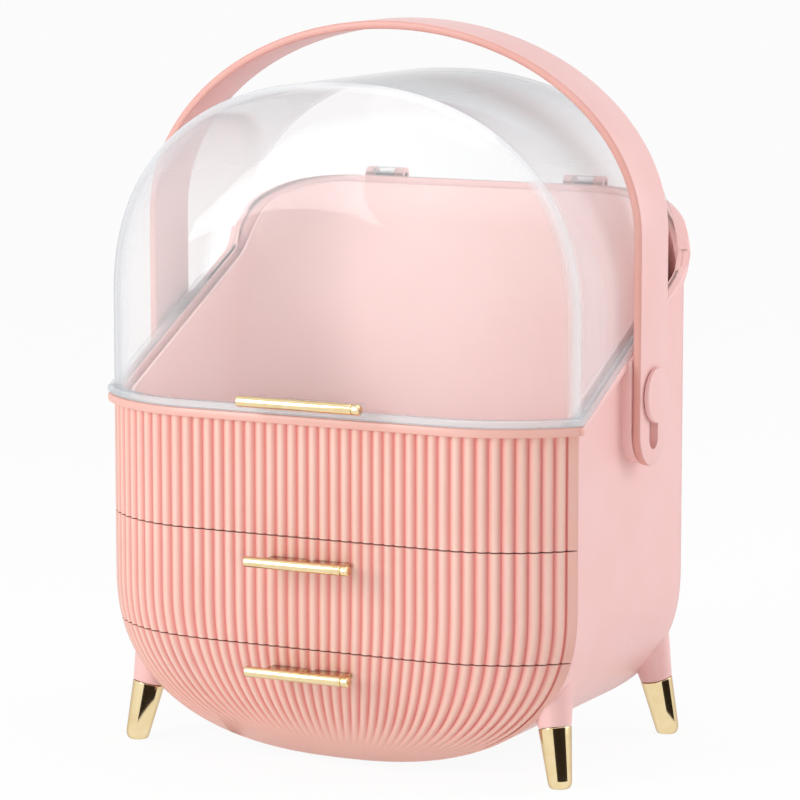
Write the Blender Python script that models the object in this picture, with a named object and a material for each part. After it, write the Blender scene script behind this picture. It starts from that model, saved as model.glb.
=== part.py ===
"""Dustproof makeup organizer: a ribbed two-drawer box on four legs, with a clear hinged hood and a carry handle.

Metres, +Z up, front towards -Y, right towards +X. The pieces are laid out round the middle of the
body, and the frame empty then moves them so that the middle of the whole footprint is the origin.
"""

import math

import bmesh
import bpy
from mathutils import Matrix, Vector

# Body: its outline seen from the front, and the way the front and back faces swell
HALF_WIDTH = 0.136
BELLY_TOP = 0.094
BELLY_LOW = 0.003
BELLY_POWER = 2.4
SIDE_DEPTH = 0.136
FLAT_HALF = 0.073
BULGE = 0.0309
SHELL_WALL = 0.003

# Seams and the rim that the hood closes on
LOWER_SEAM = 0.0666
UPPER_SEAM = 0.1252
RIM_FRONT = 0.1889
RIM_SLOPE = 0.4986
RIM_KNEE = 0.058
RIM_BACK = 0.295
RIM_REAR_SHARES = ((0, 0), (0.14, 0.13), (0.25, 0.38), (0.34, 0.6), (0.5, 0.76), (0.72, 0.91), (1, 1))
LIP_HEIGHT = 0.0045
LIP_OUT = 0.0035
LIP_OVERLAP = 0.001
SEAM_GAP = 0.0005

# Ribbed fronts
FRONT_WALL = 0.0024
FLAT_RIBS = 23
FLAT_PITCH = 0.00621
ARC_RIBS = 10
RIB_STRIP = 0.00564
RIB_CREST = 0.0003
RIB_VALLEY = 0.0009
RIB_EDGE = 0.0004
RIB_FADE_LOW = 0.011
RIB_FADE_HIGH = 0.034

# Fit between neighbours
GAP = 0.0003
SLIDE_GAP = 0.00045
OVERRUN = 0.004
REACH = 0.05

# Drawers and the shelf between them
TRAY_WALL = 0.0018
TRAY_BACK = 0.062
LOWER_TRAY_TOP = 0.061
UPPER_TRAY_DROP = 0.003
SHELF_THICK = 0.002
SHELF_FRONT_GAP = 0.0015
LEDGE_THICK = 0.003
LEDGE_REACH = 0.0075
LEDGE_LENGTH = 0.12

# Upper tray under the hood
GROOVE = 0.0045
LINER_WALL = 0.002
TRAY_LEDGE_REACH = 0.012
TRAY_LEDGE_LOW = 0.126
TRAY_SCREW_INSET = 0.0045
TRAY_SCREW_Y = 0.045
BOSS_RADIUS = 0.0032
BOSS_X = 0.060
BOSS_Z = 0.157
BOSS_BURY = 0.0005

# Screws
SCREW_RADIUS = 0.0013
SCREW_HEAD = 0.0026
SCREW_HEAD_THICK = 0.0015
SCREW_BITE = 0.003
SCREW_PLAY = 0.0002

# Drawer pulls and hood pull
PULL_LENGTH = 0.061
PULL_RADIUS = 0.00235
PULL_OUT = 0.0172
UPPER_PULL_Z = 0.1137
LOWER_PULL_Z = 0.0559
PULL_CAP = 0.004
PULL_GROOVE = 0.0006
PULL_GROOVE_DEPTH = 0.0004
PULL_ROUND = 0.0006
TONGUE_WIDTH = 0.0235
TONGUE_BREAK = 0.0037
TONGUE_THICK = 0.003
TONGUE_BITE = 0.0012
PULL_SCREW_RADIUS = 0.0009
PULL_SCREW_BITE = 0.008
HOOD_PULL_LENGTH = 0.0715
HOOD_PULL_RADIUS = 0.0029
HOOD_PULL_OUT = 0.0146
HOOD_PULL_Z = 0.1967
HOOD_TAB_HALF = 0.031
HOOD_TAB_THICK = 0.0022
HOOD_TAB_BITE = 0.0014

# Hood
HOOD_SPRING = 0.2406
HOOD_TOP = 0.3585
HOOD_POWER = 2.24
HOOD_WALL = 0.002
FLANGE_HEIGHT = 0.004
FLANGE_OUT = 0.0035

# Hood hinge
KNUCKLE_RADIUS = 0.004
KNUCKLE_LENGTH = 0.0112
LUG_LENGTH = 0.006
HINGE_X = 0.061
HINGE_PIN_RADIUS = 0.0015
KNUCKLE_GAP = 0.0004
HINGE_WEB_GAP = 0.0004
WEB_BURY = 0.0018

# Carry handle and its pivots
HANDLE_CLEAR = 0.01015
HANDLE_LOW = 0.159
HANDLE_SPRING = 0.2795
HANDLE_TOP = 0.38775
HANDLE_THICK = 0.0045
HANDLE_WIDTH = 0.036
HANDLE_EDGE = 0.0013
PIVOT_Y = 0.0053
PIVOT_Z = 0.1963
PIVOT_RADIUS = 0.0052
DISC_RADIUS = 0.0145
DISC_THICK = 0.0028
DISC_EDGE = 0.0009
SLOT_TRAVEL = 0.0231
PAD_HALF = 0.019
PAD_LOW = 0.160
PAD_DROP = 0.0006
PIVOT_HEAD = 0.008
PIVOT_HEAD_THICK = 0.002
PIVOT_SCREW_RADIUS = 0.0016
PIVOT_SCREW_BITE = 0.0078

# Legs
LEG_INSET = 0.0098
LEG_Y = 0.0653
LEG_REAR_Y = 0.0765
LEG_LEAN_X = 10
LEG_LEAN_Y = 8.5
TIP_LENGTH = 0.0322
TIP_FOOT = 0.0042
TIP_FOOT_ROUND = 0.002
TIP_LOW_RADIUS = 0.0062
TIP_TOP_RADIUS = 0.0087
LEG_BOSS_RADIUS = 0.0128
LEG_BOSS_LENGTH = 0.03
STUD_RADIUS = 0.0017
STUD_HALF = 0.009

# Mesh fineness: counts, and the least height between two rows of points
BELLY_ROWS = 12
HOOD_ROWS = 10
ARC_STEPS = 6
FLAT_STEPS = 4
RIB_STEPS = 3
ROUND_SIDES = 24
SMALL_SIDES = 12
HANDLE_STEPS = 32
HANDLE_END_STEPS = 5
ROW_LEAST = 0.0008
MERGE = 0.000001
MITRE_LEAST = 0.5

# Sizes that follow from those above
ARC_RUN = HALF_WIDTH - FLAT_HALF
ARC_RADIUS = (ARC_RUN**2 + BULGE**2) / (2 * BULGE)
ARC_DROP = ARC_RADIUS - BULGE
RIB_BORDER = FLAT_RIBS / 2 * FLAT_PITCH
FRONT_LENGTH = FLAT_HALF + ARC_RADIUS * math.asin(ARC_RUN / ARC_RADIUS)
ARC_PITCH = (FRONT_LENGTH - RIB_STRIP - RIB_BORDER) / ARC_RIBS
CREASE = SIDE_DEPTH / 2
FRONT_FLAT = -CREASE - BULGE
BACK_FLAT = CREASE + BULGE
SHELL_FRONT = -CREASE + SEAM_GAP
SIDE_TOP = HOOD_TOP + REACH
HINGE_Y = BACK_FLAT + LIP_OUT + KNUCKLE_GAP + KNUCKLE_RADIUS
HINGE_Z = RIM_BACK
PULL_Y = FRONT_FLAT - PULL_OUT
HOOD_PULL_Y = FRONT_FLAT - HOOD_PULL_OUT
HANDLE_HALF = HALF_WIDTH + HANDLE_CLEAR
DISC_FACE = HANDLE_HALF + GAP + DISC_THICK
LEG_X = HALF_WIDTH - LEG_INSET
LINER_INSET = SHELL_WALL + GROOVE
FRAME_SHIFT = -(PULL_Y - PULL_RADIUS + HINGE_Y + KNUCKLE_RADIUS) / 2

PINK = (0.86, 0.43, 0.37)
PALE_PINK = (0.90, 0.52, 0.47)
GOLD = (0.91, 0.70, 0.36)
CLEAR = (0.90, 0.93, 0.96)
STEEL = (0.60, 0.61, 0.63)


def make_material(name, color, roughness, metallic=0.0, transmission=0.0):
    """A plain Principled material."""
    material = bpy.data.materials.new(name)
    material.use_nodes = True
    shader = material.node_tree.nodes["Principled BSDF"]
    shader.inputs["Base Color"].default_value = (*color, 1)
    shader.inputs["Roughness"].default_value = roughness
    shader.inputs["Metallic"].default_value = metallic
    shader.inputs["Transmission Weight"].default_value = transmission
    material.diffuse_color = (*color, 1)
    return material


def make_empty(name, place, parent=None):
    """An empty at a place given in the body's layout."""
    empty = bpy.data.objects.new(name, None)
    bpy.context.scene.collection.objects.link(empty)
    empty.location = Vector(place) - Vector(parent["place"] if parent else (0, 0, 0))
    empty["place"] = tuple(place)
    if parent:
        empty.parent = parent
    return empty


def make_object(name, bm, material, parent, smooth=True):
    """Turns a bmesh, laid out round the body, into a named object whose origin is its parent's place."""
    bmesh.ops.recalc_face_normals(bm, faces=bm.faces)
    mesh = bpy.data.meshes.new(name)
    bm.to_mesh(mesh)
    bm.free()
    mesh.transform(Matrix.Translation(-Vector(parent["place"])))
    mesh.materials.append(material)
    if smooth:
        mesh.shade_smooth()
        mesh.set_sharp_from_angle(angle=math.radians(30))
    obj = bpy.data.objects.new(name, mesh)
    bpy.context.scene.collection.objects.link(obj)
    obj.parent = parent
    return obj


def make_helper(name, bm, parent):
    """A cutter or an addition for a Boolean, left out of the render."""
    helper = make_object(name, bm, MATERIALS["steel"], parent, smooth=False)
    helper.hide_render = True
    helper.display_type = "WIRE"
    return helper


def boolean(obj, helper, operation):
    """Adds one Boolean to the object's modifiers."""
    modifier = obj.modifiers.new(helper.name, "BOOLEAN")
    modifier.operation = operation
    modifier.object = helper
    modifier.solver = "EXACT"


class Outline:
    """Half of an outline seen from the front: from its end on the middle plane to the straight sides."""

    def __init__(self, end, spring, power, rows):
        self.up = 1 if spring > end else -1
        self.spring = spring
        self.beyond = (HALF_WIDTH, spring + self.up * 2 * SIDE_TOP)
        self.points = []
        for row in range(rows + 1):
            z = end + (spring - end) * (row / rows) ** 2
            share = min(max((spring - z) / (spring - end), 0), 1)
            self.points.append((HALF_WIDTH * (1 - share**power) ** (1 / power), z))

    def inset(self, inset):
        """The outline moved inward by inset, with mitred corners."""
        first = self.points[1]
        chain = [(-first[0], first[1])] + self.points + [self.beyond]
        moved = []
        for before, here, after in zip(chain, chain[1:], chain[2:]):
            one = Vector((here[0] - before[0], here[1] - before[1])).normalized()
            two = Vector((after[0] - here[0], after[1] - here[1])).normalized()
            normal = Vector((-one[1] - two[1], one[0] + two[0])).normalized() * self.up
            length = inset / max(normal.dot(Vector((-one[1], one[0])) * self.up), MITRE_LEAST)
            moved.append((here[0] + normal[0] * length, here[1] + normal[1] * length))
        moved[0] = (0, moved[0][1])
        return moved

    def width(self, z, inset=0):
        """Half width of the inset outline at a height."""
        points = self.inset(inset)
        if (z - points[-1][1]) * self.up >= 0:
            return HALF_WIDTH - inset
        for low, high in zip(points, points[1:]):
            if (z - low[1]) * self.up >= 0 and (high[1] - z) * self.up >= 0:
                share = (z - low[1]) / (high[1] - low[1])
                return low[0] + (high[0] - low[0]) * share
        return 0

    def rows(self, inset, start, end):
        """(half width, height) of each row of points, from start, or the outline's own end, to end."""
        found = [point for point in self.inset(inset) if (end - point[1]) * self.up > ROW_LEAST]
        if start is not None:
            found = [point for point in found if (point[1] - start) * self.up > ROW_LEAST]
            found = [(self.width(start, inset), start)] + found
        return found + [(self.width(end, inset), end)]

    def depth(self, x, z):
        """How far a point lies inside the outline, and below zero outside it."""
        point = Vector((abs(x), z))
        chain = [Vector(p) for p in self.points] + [Vector(self.beyond)]
        least = min(distance_to(point, one, two) for one, two in zip(chain, chain[1:]))
        return least if point[0] <= self.width(z) else -least


def distance_to(point, one, two):
    """Distance from a point to a straight piece of outline."""
    along = two - one
    share = min(max((point - one).dot(along) / along.length_squared, 0), 1)
    return (point - one - along * share).length


def swell(depth, inset):
    """How far the swollen face stands out from the crease plane, moved inward by inset."""
    run = max(ARC_RUN - depth, 0)
    return math.sqrt(max((ARC_RADIUS - inset) ** 2 - run**2, 0)) - ARC_DROP


def crease_inset(inset):
    """Where a face moved inward by inset meets the crease plane, as a depth inside the outline."""
    return ARC_RUN - math.sqrt((ARC_RADIUS - inset) ** 2 - ARC_DROP**2)


def smooth_shares():
    """Columns across a plain swollen face, as shares of its half width."""
    turn = math.asin(ARC_RUN / ARC_RADIUS)
    arc = [FLAT_HALF + ARC_RADIUS * math.sin(turn * step / ARC_STEPS) for step in range(1, ARC_STEPS + 1)]
    flat = [FLAT_HALF * (2 * step / FLAT_STEPS - 1) for step in range(FLAT_STEPS + 1)]
    across = [-x for x in reversed(arc)] + flat + arc
    return [x / HALF_WIDTH for x in across]


def along_front(length):
    """Distance from the middle of the body for a length measured along the curved front."""
    size = abs(length)
    if size <= FLAT_HALF:
        return length
    turned = min((size - FLAT_HALF) / ARC_RADIUS, math.asin(ARC_RUN / ARC_RADIUS))
    return math.copysign(FLAT_HALF + ARC_RADIUS * math.sin(turned), length)


def rib_columns():
    """Columns across a ribbed face: (share of the half width, height of the rib from valley 0 to crest 1)."""
    edge = RIB_VALLEY / (RIB_VALLEY + RIB_CREST)
    border, whole = RIB_BORDER, FRONT_LENGTH
    outer = border + ARC_RIBS * ARC_PITCH
    starts = [-outer + ARC_PITCH * n for n in range(ARC_RIBS)]
    starts += [-border + FLAT_PITCH * n for n in range(FLAT_RIBS)]
    starts += [border + ARC_PITCH * n for n in range(ARC_RIBS)] + [outer]
    columns = [(-whole, edge), (-outer - RIB_EDGE, edge)]
    for start, end in zip(starts, starts[1:]):
        for step in range(RIB_STEPS):
            share = step / RIB_STEPS
            columns.append((start + (end - start) * share, 1 - (2 * share - 1) ** 2))
    columns += [(outer, 0), (outer + RIB_EDGE, edge), (whole, edge)]
    return [(along_front(length) / HALF_WIDTH, rib) for length, rib in columns]


def face_row(outline, half, z, inset, shares, side):
    """One row of points across a swollen face; side is -1 for the front and 1 for the back."""
    row = []
    for share in shares:
        x = share * half
        row.append(Vector((x, side * (CREASE + swell(outline.depth(x, z), inset)), z)))
    return row


def ribbed_row(outline, half, z, columns):
    """One row across a ribbed front, each rib standing square to the curve."""
    row = face_row(outline, half, z, 0, [share for share, _ in columns], -1)
    fade = min(max((z - RIB_FADE_LOW) / (RIB_FADE_HIGH - RIB_FADE_LOW), 0), 1)
    moved = []
    for number, (_, rib) in enumerate(columns):
        before = row[max(number - 1, 0)]
        after = row[min(number + 1, len(row) - 1)]
        along = (after - before).normalized() if (after - before).length > 0 else Vector((1, 0, 0))
        out = Vector((along[1], -along[0], 0))
        relief = fade * (RIB_CREST * rib - RIB_VALLEY * (1 - rib))
        ends = number in (0, len(columns) - 1)
        moved.append(row[number].copy() if ends else row[number] + out * relief)
    return moved


def add_grid(bm, rows):
    """Adds rows of points joined by quads, and returns their vertices."""
    grid = [[bm.verts.new(point) for point in row] for row in rows]
    for low, high in zip(grid, grid[1:]):
        for a, b, c, d in zip(low, low[1:], high[1:], high):
            bm.faces.new((a, b, c, d))
    return grid


def close_up(bm):
    """Merges the points that coincide and drops the faces that collapsed."""
    bmesh.ops.remove_doubles(bm, verts=bm.verts, dist=MERGE)
    return bm


def body_solid(outline, inset, start, end, front, back):
    """A closed body of the outline. Front and back are a flat plane's y, or None for a swollen face."""
    bm = bmesh.new()
    shares = smooth_shares()
    loops = []
    for half, z in outline.rows(inset, start, end):
        loop = []
        if front is None:
            loop += face_row(outline, half, z, inset, shares, -1)
        else:
            loop += [Vector((-half, front, z)), Vector((half, front, z))]
        if back is None:
            loop += reversed(face_row(outline, half, z, inset, shares, 1))
        else:
            loop += [Vector((half, back, z)), Vector((-half, back, z))]
        loops.append([bm.verts.new(point) for point in loop])
    for low, high in zip(loops, loops[1:]):
        for number in range(len(low)):
            after = (number + 1) % len(low)
            bm.faces.new((low[number], low[after], high[after], high[number]))
    bm.faces.new(loops[-1])
    if start is not None:
        bm.faces.new(list(reversed(loops[0])))
    return close_up(bm)


def front_panel(start, end, outer_inset, wall, ribbed):
    """A curved front panel between two heights; start None runs it to the bottom of the belly."""
    bm = bmesh.new()
    rim = crease_inset(wall)
    outer = []
    for half, z in BODY.rows(outer_inset, start, end):
        if ribbed:
            outer.append(ribbed_row(BODY, half, z, rib_columns()))
        else:
            row = face_row(BODY, half, z, outer_inset, smooth_shares(), -1)
            outer.append([Vector((-half, -CREASE, z))] + row + [Vector((half, -CREASE, z))])
    inner = [face_row(BODY, half, z, wall, smooth_shares(), -1) for half, z in BODY.rows(rim, start, end)]
    for row in inner:
        row[0].y = -CREASE
        row[-1].y = -CREASE
    out = add_grid(bm, outer)
    back = add_grid(bm, inner)
    bm.faces.new(out[-1] + list(reversed(back[-1])))
    left = [row[0] for row in out]
    right = [row[-1] for row in out]
    inner_left = [row[0] for row in back]
    inner_right = [row[-1] for row in back]
    if start is None:
        whole = list(reversed(left)) + right[1:] + list(reversed(inner_right)) + inner_left[1:]
        bm.faces.new(whole)
    else:
        bm.faces.new(out[0] + list(reversed(back[0])))
        bm.faces.new(left + list(reversed(inner_left)))
        bm.faces.new(right + list(reversed(inner_right)))
    return close_up(bm)


def add_box(bm, low, high):
    """A box between two corners."""
    size = Vector(high) - Vector(low)
    middle = (Vector(high) + Vector(low)) / 2
    place = Matrix.Translation(middle) @ Matrix.Diagonal((*size, 1))
    bmesh.ops.create_cube(bm, size=1, matrix=place)


def add_turned(bm, profile, place, sides):
    """A turned solid: profile is (height, radius) from one end on the axis to the other."""
    rings = []
    for height, radius in profile:
        if radius == 0:
            rings.append([bm.verts.new(place @ Vector((0, 0, height)))])
            continue
        ring = []
        for number in range(sides):
            angle = math.tau * number / sides
            point = Vector((radius * math.cos(angle), radius * math.sin(angle), height))
            ring.append(bm.verts.new(place @ point))
        rings.append(ring)
    for one, two in zip(rings, rings[1:]):
        for number in range(sides):
            after = (number + 1) % sides
            face = [one[number % len(one)], one[after % len(one)]]
            face += [two[after % len(two)], two[number % len(two)]]
            bm.faces.new(list(dict.fromkeys(face)))


def add_rod(bm, start, end, radius, sides):
    """A plain round rod between two places."""
    start, end = Vector(start), Vector(end)
    place = Matrix.Translation(start) @ (end - start).to_track_quat("Z", "Y").to_matrix().to_4x4()
    length = (end - start).length
    add_turned(bm, ((0, 0), (0, radius), (length, radius), (length, 0)), place, sides)


def add_side_prism(bm, points, low, high):
    """A prism along X over an outline of (y, z) points."""
    ends = [[bm.verts.new((x, y, z)) for y, z in points] for x in (low, high)]
    for number in range(len(points)):
        after = (number + 1) % len(points)
        bm.faces.new((ends[0][number], ends[0][after], ends[1][after], ends[1][number]))
    bm.faces.new(ends[0])
    bm.faces.new(list(reversed(ends[1])))


def rim_curve(offset):
    """The parting line between the rim and the hood, as (y, z) points from front to back."""
    back = BACK_FLAT + LIP_OUT
    knee = RIM_FRONT + RIM_SLOPE * (RIM_KNEE + CREASE)
    points = [(FRONT_FLAT - REACH, RIM_FRONT), (-CREASE, RIM_FRONT)]
    for along, up in RIM_REAR_SHARES:
        points.append((RIM_KNEE + (back - RIM_KNEE) * along, knee + (RIM_BACK - knee) * up))
    points.append((back + REACH, RIM_BACK))
    return [(y, z + offset) for y, z in points]


def rim_height(y):
    """Height of the parting line at a distance behind the middle."""
    points = rim_curve(0)
    for low, high in zip(points, points[1:]):
        if low[0] <= y <= high[0]:
            return low[1] + (high[1] - low[1]) * (y - low[0]) / (high[0] - low[0])
    return RIM_BACK


def rim_band(low, high):
    """A block that follows the parting line; low None takes everything below it."""
    bm = bmesh.new()
    top = rim_curve(high)
    if low is None:
        bottom = [(top[0][0], -REACH), (top[-1][0], -REACH)]
    else:
        bottom = rim_curve(low)
    half = HALF_WIDTH + REACH
    add_side_prism(bm, top + list(reversed(bottom)), -half, half)
    return bm


def stadium(middle_y, low, high, radius, sides):
    """A slot outline in (y, z): round at its bottom centre low and at its top centre high."""
    points = []
    for step in range(sides + 1):
        angle = math.pi + math.pi * step / sides
        points.append((middle_y + radius * math.cos(angle), low + radius * math.sin(angle)))
    for step in range(sides + 1):
        angle = math.pi * step / sides
        points.append((middle_y + radius * math.cos(angle), high + radius * math.sin(angle)))
    return points


def leg_frame(side, end):
    """Turns a leg's own frame, with its axis along +Z, to its place under the body."""
    lean = Vector((-side * math.tan(math.radians(LEG_LEAN_X)), -end * math.tan(math.radians(LEG_LEAN_Y)), 1))
    lean.normalize()
    tilt = math.sqrt(1 - lean.z**2)
    away = LEG_REAR_Y if end > 0 else LEG_Y
    foot = Vector((side * LEG_X, end * away, -TIP_FOOT * tilt))
    return Matrix.Translation(foot) @ lean.to_track_quat("Z", "Y").to_matrix().to_4x4()


def corners():
    """The four corners of the body, as (name, side, end)."""
    for end, end_name in ((-1, "front"), (1, "rear")):
        for side, side_name in ((-1, "left"), (1, "right")):
            yield f"{end_name}_{side_name}", side, end


def sides():
    """The two sides of the body, as (name, side)."""
    return (("left", -1), ("right", 1))


def shell_additions():
    """Handle pads, leg bosses and hinge lugs, each a body of its own."""
    bm = bmesh.new()
    pad_face = HANDLE_HALF - HANDLE_THICK - GAP
    for _, side in sides():
        outline = []
        for step in range(ROUND_SIDES // 2 + 1):
            angle = math.pi + math.tau * step / ROUND_SIDES
            up = PAD_LOW + PAD_HALF + PAD_HALF * math.sin(angle)
            outline.append((PIVOT_Y + PAD_HALF * math.cos(angle), up))
        outline += [(y, rim_height(y) - PAD_DROP) for y in (PIVOT_Y + PAD_HALF, PIVOT_Y - PAD_HALF)]
        start = HALF_WIDTH - SHELL_WALL / 2
        add_side_prism(bm, outline, *sorted((side * start, side * pad_face)))
        for lug in (-1, 1):
            inner = side * HINGE_X + lug * (KNUCKLE_LENGTH / 2 + KNUCKLE_GAP)
            outer = inner + lug * LUG_LENGTH
            add_side_prism(bm, hinge_web(-1), *sorted((inner, outer)))
    for _, side, end in corners():
        place = leg_frame(side, end)
        start = TIP_LENGTH + GAP
        profile = ((start, 0), (start, TIP_TOP_RADIUS), (start + LEG_BOSS_LENGTH, LEG_BOSS_RADIUS))
        add_turned(bm, (*profile, (start + LEG_BOSS_LENGTH, 0)), place, ROUND_SIDES)
    return bm


def hinge_web(way):
    """Outline of a hinge knuckle with its web to the rim; way is -1 below the parting line and 1 above."""
    start = BACK_FLAT + LIP_OUT - WEB_BURY
    top = HINGE_Z + way * HINGE_WEB_GAP
    points = [(start, top), (start, HINGE_Z + way * (KNUCKLE_RADIUS - GAP))]
    first = math.asin((KNUCKLE_RADIUS - GAP) / KNUCKLE_RADIUS)
    last = math.asin(HINGE_WEB_GAP / KNUCKLE_RADIUS)
    for step in range(SMALL_SIDES + 1):
        angle = math.pi - first - (math.tau - first + last) * step / SMALL_SIDES
        up = way * KNUCKLE_RADIUS * math.sin(angle)
        points.append((HINGE_Y + KNUCKLE_RADIUS * math.cos(angle), HINGE_Z + up))
    return points


def hinge_bores(parent, name):
    """Two rods through the hinge knuckles."""
    bm = bmesh.new()
    reach = KNUCKLE_LENGTH / 2 + KNUCKLE_GAP + LUG_LENGTH + OVERRUN
    for _, side in sides():
        start = (side * HINGE_X - reach, HINGE_Y, HINGE_Z)
        end = (side * HINGE_X + reach, HINGE_Y, HINGE_Z)
        add_rod(bm, start, end, HINGE_PIN_RADIUS + GAP, SMALL_SIDES)
    return make_helper(name, bm, parent)


def shelf_level():
    """Height of the underside of the shelf between the drawers."""
    return LOWER_SEAM + SEAM_GAP / 2 - SHELF_THICK


def ledges():
    """Ledges inside the shell: a pair for the shelf and a pair for the upper tray."""
    bm = bmesh.new()
    shelf_top = shelf_level() - GAP
    tray_top = TRAY_LEDGE_LOW + LEDGE_THICK
    levels = ((shelf_top - LEDGE_THICK, shelf_top, LEDGE_REACH), (TRAY_LEDGE_LOW, tray_top, TRAY_LEDGE_REACH))
    for low, high, reach in levels:
        wall = BODY.width(low) - SHELL_WALL
        for _, side in sides():
            across = sorted((side * (wall - reach), side * (wall + SHELL_WALL / 2)))
            add_box(bm, (across[0], -LEDGE_LENGTH / 2, low), (across[1], LEDGE_LENGTH / 2, high))
    return bm


def tray_screw_places():
    """Where the upper tray is screwed down to its ledges, as (name, x, y)."""
    across = HALF_WIDTH - LINER_INSET - LINER_WALL - TRAY_SCREW_INSET
    for name, side, end in corners():
        yield name, side * across, end * TRAY_SCREW_Y


def shell_bores():
    """Holes in the shell for the pivots, the leg studs and the tray screws."""
    bm = bmesh.new()
    for _, side in sides():
        start = side * (HALF_WIDTH - SHELL_WALL - OVERRUN)
        end = side * (HANDLE_HALF + OVERRUN)
        add_rod(bm, (start, PIVOT_Y, PIVOT_Z), (end, PIVOT_Y, PIVOT_Z), PIVOT_RADIUS + GAP, ROUND_SIDES)
    for _, side, end in corners():
        place = leg_frame(side, end)
        start = place @ Vector((0, 0, TIP_LENGTH - OVERRUN))
        stop = place @ Vector((0, 0, TIP_LENGTH + STUD_HALF + GAP))
        add_rod(bm, start, stop, STUD_RADIUS + SCREW_PLAY, SMALL_SIDES)
    for _, x, y in tray_screw_places():
        low = TRAY_LEDGE_LOW - OVERRUN
        high = TRAY_LEDGE_LOW + LEDGE_THICK + OVERRUN
        add_rod(bm, (x, y, low), (x, y, high), SCREW_RADIUS + SCREW_PLAY, SMALL_SIDES)
    return bm


def build_shell():
    """Sides, belly and back in one moulding, with the lip round its rim."""
    block = body_solid(BODY, 0, None, SIDE_TOP, SHELL_FRONT, None)
    shell = make_object("outer_shell", block, MATERIALS["pale_pink"], FRAME)
    lip_block = body_solid(BODY, -LIP_OUT, RIM_FRONT - REACH, SIDE_TOP + REACH, SHELL_FRONT, None)
    lip = make_helper("shell_lip_block", lip_block, FRAME)
    boolean(lip, make_helper("lip_band", rim_band(-LIP_HEIGHT, 0), FRAME), "INTERSECT")
    boolean(shell, make_helper("shell_below_rim", rim_band(None, -LIP_OVERLAP), FRAME), "INTERSECT")
    boolean(shell, lip, "UNION")
    boolean(shell, make_helper("shell_additions", shell_additions(), FRAME), "UNION")
    hollow = body_solid(BODY, SHELL_WALL, None, SIDE_TOP + 2 * REACH, FRONT_FLAT - REACH, None)
    boolean(shell, make_helper("shell_hollow", hollow, FRAME), "DIFFERENCE")
    before_front = body_solid(BODY, -GAP, None, UPPER_SEAM, FRONT_FLAT - REACH, SHELL_FRONT)
    boolean(shell, make_helper("front_room", before_front, FRAME), "DIFFERENCE")
    boolean(shell, make_helper("shell_ledges", ledges(), FRAME), "UNION")
    boolean(shell, make_helper("shell_bores", shell_bores(), FRAME), "DIFFERENCE")
    boolean(shell, hinge_bores(FRAME, "shell_hinge_bores"), "DIFFERENCE")


def add_screw(bm, head, way, length, radius, head_radius):
    """A pan-head screw: head is the face that seats, way the direction of its shank."""
    way = Vector(way)
    place = Matrix.Translation(Vector(head)) @ way.to_track_quat("Z", "Y").to_matrix().to_4x4()
    profile = (
        (-SCREW_HEAD_THICK, 0),
        (-SCREW_HEAD_THICK, head_radius - SCREW_HEAD_THICK / 2),
        (-SCREW_HEAD_THICK / 2, head_radius),
        (0, head_radius),
        (0, radius),
        (length, radius),
        (length, 0),
    )
    add_turned(bm, profile, place, SMALL_SIDES)


def build_fascia():
    """The fixed ribbed panel above the drawers, with its lip and two screw bosses."""
    panel = front_panel(UPPER_SEAM + SEAM_GAP / 2, RIM_FRONT - LIP_OVERLAP, 0, FRONT_WALL, True)
    fascia = make_object("front_fascia", panel, MATERIALS["pink"], FRAME)
    lip = front_panel(RIM_FRONT - LIP_HEIGHT, RIM_FRONT, -LIP_OUT, FRONT_WALL / 2, False)
    boolean(fascia, make_helper("fascia_lip", lip, FRAME), "UNION")
    bosses = bmesh.new()
    bores = bmesh.new()
    wall = FRONT_FLAT + FRONT_WALL
    seat = FRONT_FLAT + LINER_INSET - GAP
    for _, side in sides():
        x = side * BOSS_X
        add_rod(bosses, (x, wall - BOSS_BURY, BOSS_Z), (x, seat, BOSS_Z), BOSS_RADIUS, SMALL_SIDES)
        add_rod(bores, (x, wall, BOSS_Z), (x, seat + OVERRUN, BOSS_Z), SCREW_RADIUS + SCREW_PLAY, SMALL_SIDES)
    boolean(fascia, make_helper("fascia_bosses", bosses, FRAME), "UNION")
    boolean(fascia, make_helper("fascia_bores", bores, FRAME), "DIFFERENCE")
    for name, side in sides():
        screw = bmesh.new()
        head = (side * BOSS_X, FRONT_FLAT + LINER_INSET + LINER_WALL + GAP, BOSS_Z)
        add_screw(screw, head, (0, -1, 0), LINER_WALL + 2 * GAP + SCREW_BITE, SCREW_RADIUS, SCREW_HEAD)
        make_object(f"fascia_screw_{name}", screw, MATERIALS["steel"], FRAME)


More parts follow.
